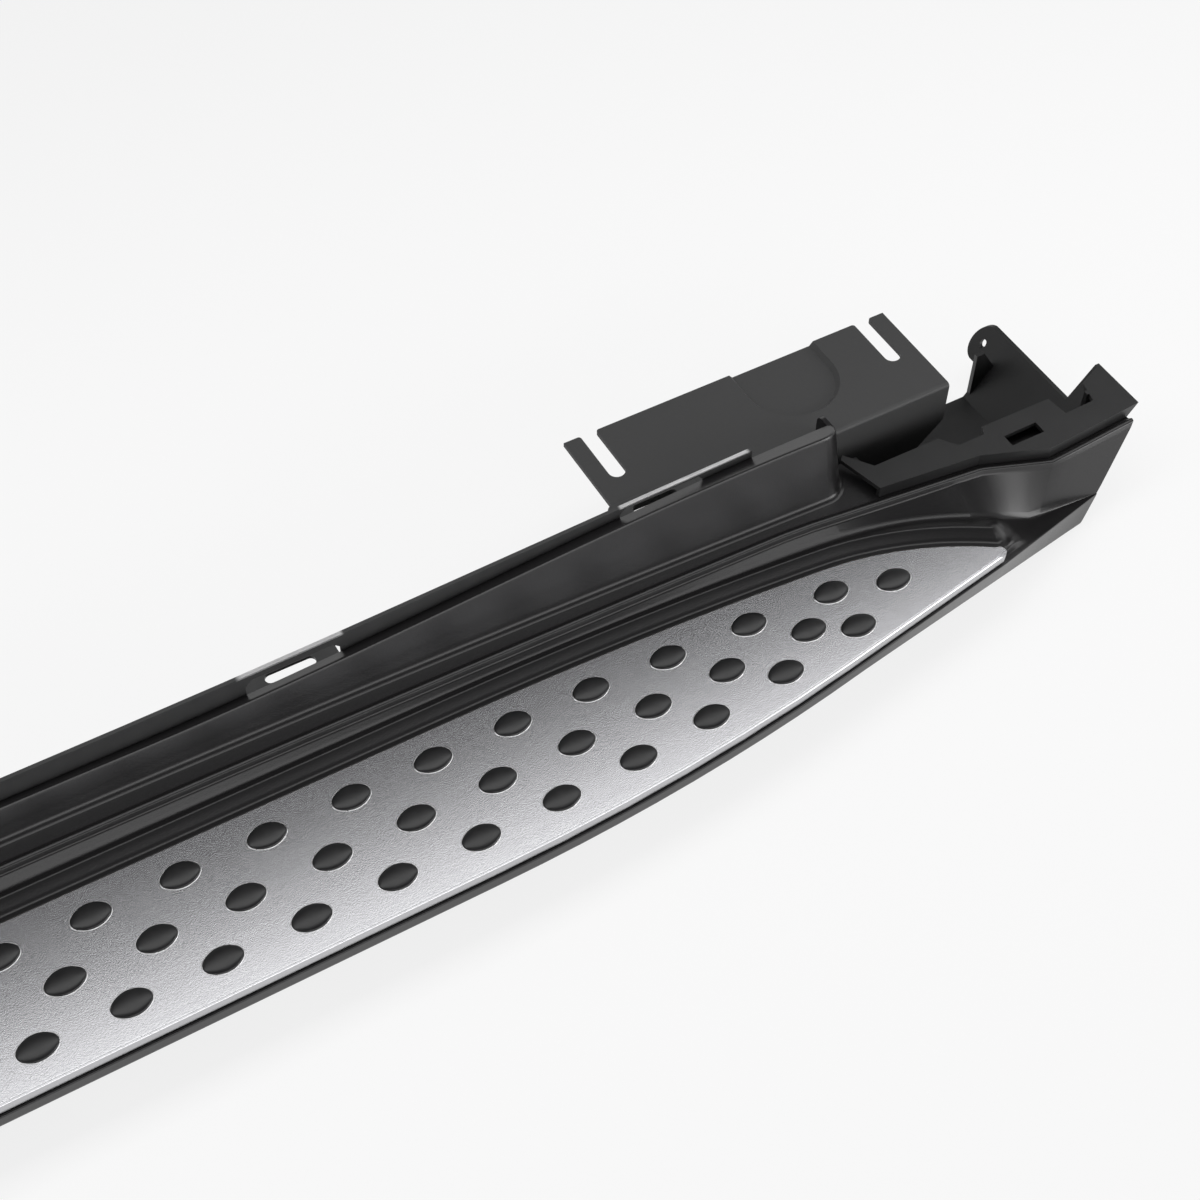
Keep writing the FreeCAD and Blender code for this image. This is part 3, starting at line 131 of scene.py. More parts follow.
class Surface:
    """A new material with its Principled shader, and the coordinates that vary over it."""

    def __init__(self, name, **uniform):
        self.material = bpy.data.materials.new(name)
        self.material.use_nodes = True
        self.tree = self.material.node_tree
        self.shader = self.tree.nodes["Principled BSDF"]
        for socket_name, value in uniform.items():
            self.shader.inputs[socket_name.replace("_", " ")].default_value = value
        self.place = self.tree.nodes.new("ShaderNodeTexCoord").outputs["Object"]
        split = self.tree.nodes.new("ShaderNodeSeparateXYZ")
        self.tree.links.new(self.place, split.inputs[0])
        self.x = Field(self.tree, split.outputs["X"])
        self.z = Field(self.tree, split.outputs["Z"])

    def stretched(self, sx, sy, sz):
        """Coordinates scaled along each axis, for marks that run one way."""
        node = self.tree.nodes.new("ShaderNodeMapping")
        node.inputs["Scale"].default_value = (sx, sy, sz)
        self.tree.links.new(self.place, node.inputs["Vector"])
        return node.outputs["Vector"]

    def noise(self, vector=None, **values):
        """A Noise texture over the object, with its inputs by name."""
        node = self.tree.nodes.new("ShaderNodeTexNoise")
        self.tree.links.new(vector if vector else self.place, node.inputs["Vector"])
        for name, value in values.items():
            node.inputs[name].default_value = value
        return Field(self.tree, node.outputs["Fac"])

    def feed(self, **varying):
        for name, value in varying.items():
            self.tree.links.new(value.socket, self.shader.inputs[name.replace("_", " ")])

    def bump(self, height, distance, strength):
        node = self.tree.nodes.new("ShaderNodeBump")
        node.inputs["Strength"].default_value = strength
        node.inputs["Distance"].default_value = distance
        self.tree.links.new(height.socket, node.inputs["Height"])
        self.tree.links.new(node.outputs["Normal"], self.shader.inputs["Normal"])


# %% [markdown]
# ## The camera
# The photograph was taken from about a metre above the board's middle, a little outside
# it. The stud grid gave the place, the turn and the lens. `right`, `down` and `forward` are
# the picture's own directions, slightly rolled against the horizon.

# %%
CAMERA_PLACE = (0.13476, -0.62334, 0.97651)
azimuth = math.radians(-30.47)
elevation = math.radians(51.29)
roll = math.radians(-0.88)
backwards = Vector((
    math.sin(azimuth) * math.cos(elevation),
    -math.cos(azimuth) * math.cos(elevation),
    math.sin(elevation),
))
forward = -backwards
level = forward.cross(Vector((0, 0, 1))).normalized()
steep = forward.cross(level)
right = level * math.cos(roll) + steep * math.sin(roll)
down = steep * math.cos(roll) - level * math.sin(roll)
camera_data = bpy.data.cameras.new("camera")
camera_data.lens = 60.53
camera_data.sensor_width = 36.0
camera = bpy.data.objects.new("camera", camera_data)
bpy.context.scene.collection.objects.link(camera)
axes = Matrix((right, -down, backwards)).transposed().to_4x4()
camera.matrix_world = Matrix.Translation(CAMERA_PLACE) @ axes
bpy.context.scene.camera = camera
print("camera looks along", [round(v, 3) for v in forward])


# %% [markdown]
# ## Floor, background and light
# Black plastic and satin metal show what they mirror, so the room matters more than the lamp.
# The floor and the background are white to the camera and in reflections. Higher up the room
# is dim, so that the black pieces stay black. A long softbox hangs over the back of the board:
# the tread mirrors its back edge, which makes the plate bright in front and darker behind. A
# low box in front reaches the walls that face forward, also by way of the plate, and a small
# one at the front right lights the board's end. The last box lights the metal plate alone:
# its rolled front edge mirrors it as the bright line that runs along the board.

# %%
FLOOR_HALF, FLOOR_GAP = 6.0, 0.0002
FLOOR_WHITE_SHARE = 0.8
WHITE = (1.0, 1.0, 1.0)
ROOM, ROOM_MIRRORED = (0.24, 0.24, 0.244), (0.10, 0.10, 0.102)
HORIZON, DIM_ABOVE = 0.15, 0.55


def ray(tree, kind):
    """1 for the rays of one kind, 0 for all others."""
    return Field(tree, tree.nodes.new("ShaderNodeLightPath").outputs[kind])


def seen_white(tree):
    """1 for the rays that show a background: camera, glossy and transmission rays."""
    seen = ray(tree, "Is Camera Ray")
    for kind in ("Is Glossy Ray", "Is Transmission Ray"):
        seen = seen.math("MAXIMUM", ray(tree, kind))
    return seen


def whiten(tree, shader, share):
    """Mixes plain white into what those rays see, and leaves the shadow in the rest."""
    white = tree.nodes.new("ShaderNodeEmission")
    blend = tree.nodes.new("ShaderNodeMixShader")
    plug(tree, blend.inputs["Fac"], seen_white(tree) * share)
    tree.links.new(shader.outputs[0], blend.inputs[1])
    tree.links.new(white.outputs[0], blend.inputs[2])
    tree.links.new(blend.outputs[0], tree.nodes["Material Output"].inputs["Surface"])


def flat_square(name, half, z):
    mesh = bpy.data.meshes.new(name)
    corners = [(-half, -half, z), (half, -half, z), (half, half, z), (-half, half, z)]
    mesh.from_pydata(corners, [], [(0, 1, 2, 3)])
    square = bpy.data.objects.new(name, mesh)
    bpy.context.scene.collection.objects.link(square)
    return square


floor = flat_square("floor", FLOOR_HALF, low_corner[2] - FLOOR_GAP)
floor_finish = Surface(
    "floor_white", Base_Color=(0.93, 0.93, 0.93, 1.0), Roughness=0.9, Specular_IOR_Level=0.1,
)
whiten(floor_finish.tree, floor_finish.shader, FLOOR_WHITE_SHARE)
floor.data.materials.append(floor_finish.material)
floor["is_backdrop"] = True

world = bpy.data.worlds.new("studio")
bpy.context.scene.world = world
world.use_nodes = True
sky = world.node_tree
heading = sky.nodes.new("ShaderNodeTexCoord").outputs["Generated"]
split = sky.nodes.new("ShaderNodeSeparateXYZ")
sky.links.new(heading, split.inputs[0])
low = 1.0 - Field(sky, split.outputs["Z"]).step(HORIZON, DIM_ABOVE)
shown = ray(sky, "Is Camera Ray").math("MAXIMUM", seen_white(sky) * low)
room = ray(sky, "Is Glossy Ray").mix(ROOM, ROOM_MIRRORED)
background = sky.nodes["Background"]
sky.links.new(shown.mix(room, WHITE).socket, background.inputs["Color"])
background.inputs["Strength"].default_value = 1.0


# %%
def softbox(name, place, aim, width, depth, watts):
    data = bpy.data.lights.new(name, "AREA")
    data.shape = "RECTANGLE"
    data.size = width
    data.size_y = depth
    data.energy = watts
    lamp = bpy.data.objects.new(name, data)
    bpy.context.scene.collection.objects.link(lamp)
    lamp.location = place
    lamp.rotation_euler = (Vector(aim) - Vector(place)).to_track_quat("-Z", "Y").to_euler()
    lamp.visible_camera = False
    return lamp


softbox("overhead", (0.35, 0.14, 0.75), (0.35, 0.14, 0.0), 2.8, 0.32, 6.2)
softbox("front", (0.5, -1.8, 0.75), (0.3, 0.0, 0.05), 2.2, 0.7, 12.0)
softbox("side", (1.9, -1.2, 0.4), (0.8, 0.0, 0.05), 0.9, 0.8, 11.0)
sheen = softbox("sheen", (0.35, -0.5, 0.80), (0.35, -0.1, 0.05), 2.8, 0.55, 7.5)
metal_only = bpy.data.collections.new("metal_only")
metal_only.objects.link(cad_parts["tread_plate"])
sheen.light_linking.receiver_collection = metal_only
bpy.context.scene.view_settings.view_transform = "Standard"
print("softboxes:", len(bpy.data.lights))


# %% [markdown]
# ## Finishes
# Eight finishes cover the whole product. In most of them the colour, the gloss and a faint
# relief all follow one fine noise: the cover is a grained black moulding, the caps are smoother,
# the studs are dusty rubber, and the bracket has a matt powder coat.

# %%
def noisy_finish(name, noise, colours, gloss, relief=None, tint=None, **uniform):
    """Colour from dark to light, roughness as base and spread, relief as distance and strength.

    With `tint`, the colour follows a second, coarser noise.
    """
    finish = Surface(name, **uniform)
    grain = finish.noise(**noise)
    shade = finish.noise(**tint) if tint else grain
    base, spread = gloss
    finish.feed(Base_Color=shade.mix(*colours), Roughness=base + spread * grain)
    if relief:
        finish.bump(grain, *relief)
    return finish


cover_finish = noisy_finish(
    "grained_plastic",
    noise={"Scale": 900.0, "Detail": 2.0, "Roughness": 0.6},
    tint={"Scale": 9.0, "Detail": 3.0},
    colours=((0.0085, 0.008, 0.0085), (0.0125, 0.012, 0.0125)),
    gloss=(0.25, 0.12),
    relief=(0.0004, 0.12),
)
smooth_finish = noisy_finish(
    "smooth_plastic",
    noise={"Scale": 40.0, "Detail": 4.0},
    colours=((0.010, 0.010, 0.0103), (0.016, 0.016, 0.0163)),
    gloss=(0.36, 0.12),
    relief=(0.0003, 0.1),
)
rubber_finish = noisy_finish(
    "stud_rubber",
    noise={"Scale": 220.0, "Detail": 3.0},
    colours=((0.007, 0.007, 0.0075), (0.013, 0.013, 0.0135)),
    gloss=(0.26, 0.14),
    relief=(0.0002, 0.1),
)
bracket_finish = noisy_finish(
    "powder_coat",
    noise={"Scale": 420.0, "Detail": 3.0},
    colours=((0.040, 0.040, 0.0403), (0.052, 0.052, 0.0523)),
    gloss=(0.52, 0.16),
    relief=(0.0003, 0.2),
)
# Collars of the stud holes: the same metal as the plate, painted lighter as a painted highlight
# on the rim.
collar_highlight_finish = noisy_finish(
    "collar_metal_painted_highlight",
    noise={"Scale": 300.0, "Detail": 2.0},
    colours=((0.72, 0.72, 0.73), (0.88, 0.88, 0.88)),
    gloss=(0.22, 0.14),
    Metallic=1.0,
)
zinc_finish = noisy_finish(
    "zinc_plate",
    noise={"Scale": 160.0, "Detail": 2.0},
    colours=((0.55, 0.55, 0.53), (0.72, 0.72, 0.70)),
    gloss=(0.28, 0.20),
    Metallic=1.0,
)

# %% [markdown]
# The tread is satin aluminium with fine specks and faint strokes along the board. Coated
# steel is dark, with bare bright metal along two stretches of the web's cut upper edge, which
# rises towards the board's ends.

# %%
SPECK_SHARE = 0.7
tread_finish = Surface("brushed_aluminium", Metallic=1.0)
specks = tread_finish.noise(Scale=1300.0, Detail=2.0, Roughness=0.7)
strokes = tread_finish.noise(tread_finish.stretched(9.0, 500.0, 200.0), Scale=1.0, Detail=3.0)
wear = SPECK_SHARE * specks + (1.0 - SPECK_SHARE) * strokes
tread_finish.feed(
    Base_Color=wear.mix((0.42, 0.42, 0.435), (0.60, 0.60, 0.615)),
    Roughness=0.18 + 0.10 * specks,
)
tread_finish.bump(specks, 0.0002, 0.22)

BARE_METAL = (0.85, 0.85, 0.85)
coated_finish = Surface("coated_steel")
film = coated_finish.noise(Scale=120.0, Detail=3.0)
along = abs(coated_finish.x)


def bare_edge(climb, foot_range, start_range, end_range):
    """1 on the web's upper edge, which climbs along the board, between a start and an end."""
    high = (coated_finish.z - climb * along).step(*foot_range)
    return high * along.step(*start_range) * (1.0 - along.step(*end_range))


outer_edge = bare_edge(0.0229, (0.0812, 0.0815), (0.536, 0.539), (0.624, 0.627))
inner_edge = bare_edge(0.0224, (0.0797, 0.0801), (0.294, 0.299), (0.357, 0.360))
cut_edge = outer_edge.math("MAXIMUM", inner_edge)
coating = film.mix((0.042, 0.042, 0.0425), (0.056, 0.056, 0.0565))
coated_finish.feed(
    Base_Color=cut_edge.mix(coating, BARE_METAL),
    Roughness=0.34 + 0.14 * film,
    Metallic=cut_edge,
)
coated_finish.bump(film, 0.0003, 0.12)


# %% [markdown]
# ## The cover's lines in plan
# The cover is one long moulding, and its edges are lines in plan that bend inwards towards
# the board's ends. Each function gives Y, or Y and Z, in millimetres at one X, for the right
# half. The left half is its mirror.

# %%
HALF, LIP, TREAD, WALL = 876.0, -115.5, 48.0, 3.0
UNDER, DECK, BEAD = TREAD - 2.0, TREAD + 6.0, TREAD + 7.5
PLATE_SETBACK, PLATE_WIDTH = 1.5, 97.5
RAKE = 0.83
TIP = HALF - 131.0
BEAD_BEND = HALF - 236.0
RIB, GROOVE, GROOVE_GAIN = 12.3, 4.5, 9.0
CREST_FALL, FOOT_FALL, BELLY_SLOPE = 7.5, 17.0, 1.03
GUTTER_FOOT, GUTTER_Y = HALF - 87.0, LIP + 74.5
GUTTER_FALL, END_FALL = 23.5, 30.75
END = HALF - (BEAD - TREAD + END_FALL) * RAKE
UPSTAND_END = HALF - 191.0
TRAY_END, TRAY_LIFT = UPSTAND_END - 21.0, 5.3
DECK_CUT, DECK_CUT_RUN = UPSTAND_END + 20.0, 6.0
LEDGE_BACK, LEDGE_FALL, LEAN = 38.7, 0.52, 0.27


def smooth(t):
    t = min(1.0, max(0.0, t))
    return t * t * (3 - 2 * t)


def between(x, x0, y0, x1, y1):
    return y0 + (y1 - y0) * (x - x0) / (x1 - x0)


def lip_y(x):
    """Outer face of the lip: straight, then one arc, then straight on."""
    bend_start, bend, radius = HALF - 501.0, 240.0, 1410.0
    run = max(0.0, x - bend_start)
    inner = min(run, bend)
    slope = bend / math.sqrt(radius ** 2 - bend ** 2)
    return LIP + radius - math.sqrt(radius ** 2 - inner ** 2) + slope * max(0.0, run - bend)


def plate_front(x):
    return lip_y(x) + PLATE_SETBACK


def plate_back(x):
    """Back edge of the plate: straight, a slow arc, then a tight one to the tip."""
    slow, slow_run, tight, turn = 2600.0, 240.0, 215.0, TIP - 105.0
    run = max(0.0, min(x, turn) - (turn - slow_run))
    y = LIP + PLATE_SETBACK + PLATE_WIDTH - slow + math.sqrt(slow ** 2 - run ** 2)
    if x > turn:
        slope = slow_run / slow
        angle = math.asin(min(0.95, (x - turn) / tight + slope))
        y -= tight * (math.cos(math.asin(slope)) - math.cos(angle))
    return y


def stretch(x):
    """How much longer a square offset from the plate is when it is measured along Y."""
    return math.hypot(1, plate_back(x + 0.5) - plate_back(x - 0.5))


def bead_y(x):
    """Outer edge of the deck: a slow bow, a sweep outwards, then straight to the end."""
    bow = 9.4
    knots = [
        (BEAD_BEND, LIP + 116.6),
        (HALF - 109.0, LIP + 102.0),
        (HALF - 66.5, LIP + 85.5),
        (HALF, LIP + 89.5),
    ]
    if x <= BEAD_BEND:
        return LIP + 126.0 - bow * (x / BEAD_BEND) ** 2
    for (x0, y0), (x1, y1) in zip(knots, knots[1:]):
        if x <= x1 or x1 == HALF:
            return between(x, x0, y0, x1, y1)


def gutter(x):
    """Foot of the gutter behind the rib, which widens and falls towards the board's end."""
    rise_above, widened_fall, drift = 1.5, 6.5, 0.014
    if x <= TIP:
        widening = smooth((x - BEAD_BEND) / (TIP - BEAD_BEND))
        y = plate_back(x) + (RIB + GROOVE + GROOVE_GAIN * widening) * stretch(x)
        return y, TREAD + rise_above - widened_fall * widening
    if x <= GUTTER_FOOT:
        tip_y, tip_z = gutter(TIP)
        y = between(x, TIP, tip_y, GUTTER_FOOT, GUTTER_Y)
        return y, between(x, TIP, tip_z, GUTTER_FOOT, TREAD - GUTTER_FALL)
    x = min(x, END)
    z = between(x, GUTTER_FOOT, TREAD - GUTTER_FALL, END, TREAD - END_FALL)
    return GUTTER_Y + drift * (x - GUTTER_FOOT), z


def crest(x):
    """Upper edge of the lip, which meets the gutter's foot at the board's end."""
    if x <= TIP:
        return lip_y(x), TREAD - CREST_FALL
    end_y, end_z = gutter(END)
    x = min(x, END)
    y = between(x, TIP, lip_y(TIP), END, end_y - 0.4)
    return y, between(x, TIP, TREAD - CREST_FALL, END, end_z)


def foot(x):
    """Lower edge of the lip; it turns inwards and falls to the ground at the board's end."""
    start, end, lowest = HALF - 242.0, HALF - BEAD * RAKE, 1.0
    setback, turn_in = 0.5, 0.23
    if x <= start:
        return lip_y(x) + setback, TREAD - FOOT_FALL
    y = lip_y(start) + setback + turn_in * (x - start)
    return y, max(lowest, between(x, start, TREAD - FOOT_FALL, end, lowest))


def deck_back(x):
    """Back of the deck: level with the upstand, then cut back behind the end cap."""
    full, cut = 151.0, 34.5
    return LIP + full - cut * min(1.0, max(0.0, (x - DECK_CUT) / DECK_CUT_RUN))


def back_foot(x):
    """Foot of the back wall: on the tray's floor, or on the ground past the tray's end."""
    return TRAY_LIFT if x < TRAY_END + 0.3 else 0.0


print("plate back at the tip in mm:", round(plate_back(TIP), 2))


# %% [markdown]
# ## Sections across the cover
# A moulding has no sharp edges, so each corner of a section carries a radius. `rounded`
# replaces a corner by a short curve and adds one point on either side of it, which keeps the
# flat faces flat when they are shaded.

# %%
def rounded(corners, steps=4):
    """Points of a line through corners, each given as y, z and radius."""
    points = [Vector(corners[0][:2])]
    for index in range(1, len(corners) - 1):
        y, z, radius = corners[index]
        here = Vector((y, z))
        arms = []
        for other in (corners[index - 1], corners[index + 1]):
            arm = Vector(other[:2]) - here
            reach = arm.length
            arm = arm / max(reach, 1e-6)
            arms.append((arm * min(radius, 0.4 * reach), arm * min(0.5, 0.06 * reach)))
        (start, before), (end, after) = arms
        points.append(here + start + before)
        for k in range(steps + 1):
            t = k / steps
            first = here + start * (1 - t)
            second = here + end * t
            points.append(first.lerp(second, t))
        points.append(here + end + after)
    points.append(Vector(corners[-1][:2]))
    return points


def recess_corners(x):
    """The plate's seat, its back wall, and the rib behind it; past the tip they fade out."""
    cy, cz = crest(x)
    gy, gz = gutter(x)
    edge = plate_back(min(x, TIP))
    run = RIB * stretch(min(x, TIP))
    seat = cy + 4.1
    corners = [
        (seat, cz, 0.3),
        (seat, UNDER, 0.3),
        (edge + 0.6, UNDER, 0.3),
        (edge + 0.6, UNDER + 1.6, 0.6),
        (edge + 0.4 * run, TREAD - 2.0, 3.5),
        (edge + 0.8 * run, TREAD + 2.4, 2.5),
        (edge + run, TREAD + 4.0, 2.5),
        (edge + 1.2 * run, TREAD + 2.8, 2.0),
    ]
    fade_run = 24.0
    fade = smooth((x - TIP) / fade_run)
    if fade > 0:
        for index, (y, z, radius) in enumerate(corners):
            share = (index + 1) / (len(corners) + 1)
            flat_y = cy + (gy - cy) * share
            flat_z = cz + (gz - cz) * share
            corners[index] = (y + (flat_y - y) * fade, z + (flat_z - z) * fade, radius)
    return corners


def outer_section(x):
    """From the foot of the belly over the tread side to the foot of the back wall."""
    cy, cz = crest(x)
    fy, fz = foot(x)
    gy, gz = gutter(x)
    bead = bead_y(x)
    back = deck_back(x)
    band_top = DECK - (2.5 if x <= TIP else 2.0)
    corners = [(fy + fz / BELLY_SLOPE, 0.0, 0), (fy, fz, 1.6), (cy, cz, 1.2)]
    corners += recess_corners(x)
    corners += [
        (gy, gz, 4.0),
        (bead - 1.5, band_top, 0.8),
        (bead, BEAD - 0.4, 0.6),
        (bead + 2.0, BEAD, 0.8),
        (bead + 4.0, DECK, 0.8),
        (back, DECK, 0.8),
        (back, back_foot(x), 0),
    ]
    return rounded(corners)


def inner_section(x):
    """The hollow below, in the same direction."""
    cy, cz = crest(x)
    fy, fz = foot(x)
    gy, gz = gutter(x)
    on_plate = x <= TIP
    ceiling = (min(UNDER, gz) if on_plate else gz) - WALL
    front_z = (min(UNDER, cz + 5.5) if on_plate else cz) - WALL
    back = deck_back(x) - WALL
    shoulder = fy + 2.2 * WALL
    corners = [
        (fy + fz / BELLY_SLOPE + 1.5 * WALL, 0.0, 0),
        (shoulder, min(fz + 0.5 * WALL, front_z - 1.0), 1.0),
        (max(cy + 2.0 * WALL, shoulder - 1.0), front_z, 1.0),
        (gy + 1.2 * WALL, ceiling, 2.0),
        (bead_y(x) + 1.2 * WALL, DECK - WALL, 1.0),
        (back, DECK - WALL, 0.6),
        (back, back_foot(x), 0),
    ]
    return rounded(corners, 2)


# %% [markdown]
# ## The cover's shell
# The sections stand closer together where the lines turn. Near the end each line of the
# surface runs on to the raked plane by itself, so the end face comes out flat. Two of these
# last rows lie close together, which keeps the bend in the deck's edge crisp.

# %%
STATIONS = [25.0 * k for k in range(25)] + [TRAY_END - 34.0, TRAY_END - 14.0]
STATIONS += [TRAY_END + 0.2, TRAY_END + 0.4, 680.0, 694.0, DECK_CUT, DECK_CUT + DECK_CUT_RUN]
STATIONS += [718.0, 726.0, 734.0, 740.0, TIP, TIP + 0.5]
STATIONS += [TIP + 3.0 * k for k in range(1, 9)]
LAST = STATIONS[-1]
END_SHARES = (0.12, 0.25, 0.3745, 0.376, 0.5, 0.6, 0.75, 0.88, 1.0)


def skin_rows(section, inset):
    """Points of a section at every station and on to the raked end, for both halves."""
    rows = [[Vector((x, p.x, p.y)) for p in section(x)] for x in STATIONS]
    count = len(rows[0])
    ends = []
    for index in range(count):
        x = HALF - inset
        for _ in range(5):
            x = HALF - inset + (section(x)[index].y - BEAD) * RAKE
        ends.append(x)
    for share in END_SHARES:
        row = []
        for index in range(count):
            x = LAST + (ends[index] - LAST) * share
            point = section(x)[index]
            row.append(Vector((x, point.x, point.y)))
        rows.append(row)
    left = [[Vector((-p.x, p.y, p.z)) for p in row] for row in reversed(rows[1:])]
    return left + rows


def add_grid(mesh, rows):
    """Rows of points as vertices of a bmesh, joined by four-sided faces."""
    grid = [[mesh.verts.new(p * MM) for p in row] for row in rows]
    for near, far in zip(grid, grid[1:]):
        for k in range(len(near) - 1):
            mesh.faces.new((near[k], far[k], far[k + 1], near[k + 1]))
    return grid


def add_prism(mesh, points, along):
    """Closed prism over a polygon of points."""
    low = [mesh.verts.new(p * MM) for p in points]
    high = [mesh.verts.new((p + along) * MM) for p in points]
    mesh.faces.new(low)
    mesh.faces.new(list(reversed(high)))
    for k in range(len(low)):
        n = (k + 1) % len(low)
        mesh.faces.new((low[n], low[k], high[k], high[n]))


shell = bmesh.new()
outside = add_grid(shell, skin_rows(outer_section, 0.0))
inside = add_grid(shell, skin_rows(inner_section, WALL))
for index in (0, -1):
    rims = [[row[index] for row in skin] for skin in (outside, inside)]
    for k in range(len(outside) - 1):
        shell.faces.new((rims[0][k], rims[0][k + 1], rims[1][k + 1], rims[1][k]))
for row in (0, -1):
    shell.faces.new(outside[row])
    shell.faces.new(inside[row])
    shell.faces.new((outside[row][0], outside[row][-1], inside[row][-1], inside[row][0]))
print("shell faces:", len(shell.faces), "sections:", len(outside))


# %% [markdown]
# ## The upstand
# A thin wall rises from the deck, leans back a little and carries a ledge that falls towards
# the vehicle. It is drawn as one open sheet that follows the wall's line in plan, and a
# Solidify modifier gives it the moulding's wall.

# %%
UPSTAND_FRONT, UPSTAND_BOW = LIP + 143.0, 15.2
RISE_MIDDLE, RISE_GAIN, RISE_RUN = 21.0, 23.0, 455.0
CORNER = 15.0
FRONT_COLUMNS, CORNER_COLUMNS = 41, 8


def front_y(x):
    return UPSTAND_FRONT - UPSTAND_BOW * (x / UPSTAND_END) ** 2


def rise(x):
    return RISE_MIDDLE + RISE_GAIN * smooth(1 + (x - UPSTAND_END) / RISE_RUN)


def ledge_z(x, y):
    ridge = front_y(x) + LEAN * rise(x)
    return DECK + rise(x) + LEDGE_FALL * (ridge - y)


def wall_path():
    """Points of the wall's foot with their outward normals: front, corner, end."""
    start = UPSTAND_END - CORNER
    path = []
    for k in range(FRONT_COLUMNS):
        x = start * k / (FRONT_COLUMNS - 1)
        slope = -2 * UPSTAND_BOW * x / UPSTAND_END ** 2
        path.append((Vector((x, front_y(x))), Vector((slope, -1.0)).normalized()))
    centre = Vector((start, front_y(start) + CORNER))
    for k in range(1, CORNER_COLUMNS + 1):
        angle = math.radians(-90 + 90 * k / CORNER_COLUMNS)
        normal = Vector((math.cos(angle), math.sin(angle)))
        path.append((centre + normal * CORNER, normal))
    for share in (0.35, 0.7, 1.0):
        y = centre.y + (LEDGE_BACK - centre.y) * share
        path.append((Vector((UPSTAND_END, y)), Vector((1.0, 0.0))))
    return path


def wall_column(place, normal):
    """One column of the sheet: fillet on the deck, wall, rounded ridge, edge of the ledge."""
    fillet, ridge, sunk, ledge_edge = 3.0, 2.4, 2.0, 0.6
    x = min(place.x, UPSTAND_END)
    top = (ledge_z(x, place.y) - DECK) / (1 + LEDGE_FALL * LEAN)
    column = []

    def at(out, height):
        y = min(place.y + LEAN * max(0.0, height) + normal.y * out, LEDGE_BACK)
        column.append(Vector((place.x + normal.x * out, y, DECK + height)))

    at(fillet, -sunk)
    for k in range(5):
        turn = math.radians(90 * k / 4)
        at(fillet * (1 - math.sin(turn)), fillet * (1 - math.cos(turn)))
    for share in (0.4, 0.8):
        at(0.0, fillet + (top - ridge - fillet) * share)
    wall_top = Vector((place.x, min(place.y + LEAN * (top - ridge), LEDGE_BACK)))
    for k in range(5):
        t = k / 4
        inwards = ridge * t * t
        height = top - ridge * (1 - t) ** 2
        y = min(wall_top.y + LEAN * ridge * t - normal.y * inwards, LEDGE_BACK)
        px = place.x - normal.x * inwards
        column.append(Vector((px, y, min(DECK + height, ledge_z(px, y)))))
    last = column[-1]
    edge_y = min(last.y - normal.y * ledge_edge, LEDGE_BACK)
    edge = Vector((last.x - normal.x * ledge_edge, edge_y))
    column.append(Vector((edge.x, edge.y, ledge_z(edge.x, edge.y))))
    return column


columns = [wall_column(place, normal) for place, normal in wall_path()]
sheet_mesh = bmesh.new()
mirror_columns = [[Vector((-p.x, p.y, p.z)) for p in c] for c in reversed(columns[1:])]
grid = add_grid(sheet_mesh, mirror_columns + columns)
middle = len(columns) - 1
corner_end = middle + FRONT_COLUMNS + CORNER_COLUMNS - 1


def back_vertex(vertex):
    """The ledge's back edge, straight behind one vertex of its front edge."""
    x, y = abs(vertex.co.x) / MM, LEDGE_BACK
    return sheet_mesh.verts.new(Vector((vertex.co.x / MM, y, ledge_z(x, y))) * MM)


front_row = [c[-1] for c in grid[2 * middle - corner_end:corner_end + 1]]
back_row = [back_vertex(v) for v in front_row]
for k in range(1, len(front_row) - 2):
    sheet_mesh.faces.new((front_row[k], front_row[k + 1], back_row[k + 1], back_row[k]))
right_rim = [c[-1] for c in grid[corner_end + 1:]]
left_rim = [c[-1] for c in grid[:2 * middle - corner_end]]
sheet_mesh.faces.new([back_row[-2], front_row[-2], front_row[-1]] + right_rim)
sheet_mesh.faces.new([front_row[0], front_row[1], back_row[1]] + left_rim)
for vertex in (back_row[0], back_row[-1]):
    sheet_mesh.verts.remove(vertex)
bmesh.ops.remove_doubles(sheet_mesh, verts=sheet_mesh.verts, dist=0.05 * MM)
bmesh.ops.dissolve_degenerate(sheet_mesh, edges=sheet_mesh.edges, dist=0.02 * MM)
bmesh.ops.recalc_face_normals(sheet_mesh, faces=sheet_mesh.faces)
reach_x = max(v.co.x for v in sheet_mesh.verts) / MM
print("upstand columns:", len(grid), "ends at", round(reach_x, 1))


# %%
def finished_mesh(obj):
    """The object's mesh with its modifiers turned into plain faces."""
    bpy.context.view_layer.update()
    shaped = obj.evaluated_get(bpy.context.evaluated_depsgraph_get())
    return bpy.data.meshes.new_from_object(shaped)


def add_object(name, mesh):
    obj = bpy.data.objects.new(name, mesh)
    bpy.context.scene.collection.objects.link(obj)
    return obj


def smooth_mesh(name, source, sharp_above=None):
    """A bmesh as a mesh with smooth shading, sharp where faces meet above an angle."""
    mesh = bpy.data.meshes.new(name)
    source.to_mesh(mesh)
    source.free()
    mesh.polygons.foreach_set("use_smooth", [True] * len(mesh.polygons))
    if sharp_above:
        mesh.set_sharp_from_angle(angle=math.radians(sharp_above))
    return mesh


sheet_data = bpy.data.meshes.new("upstand_sheet")
sheet_mesh.to_mesh(sheet_data)
sheet_mesh.free()
draft = add_object("upstand_draft", sheet_data)
thicken = draft.modifiers.new("wall", "SOLIDIFY")
thicken.thickness = WALL * MM
thicken.offset = -1.0
shell.from_mesh(finished_mesh(draft))
bpy.data.objects.remove(draft)
print("faces with the upstand:", len(shell.faces))


# %% [markdown]
# ## Lug, ribs and bosses
# The upstand's end wall reaches back over the bracket as a small lug with a rounded top.

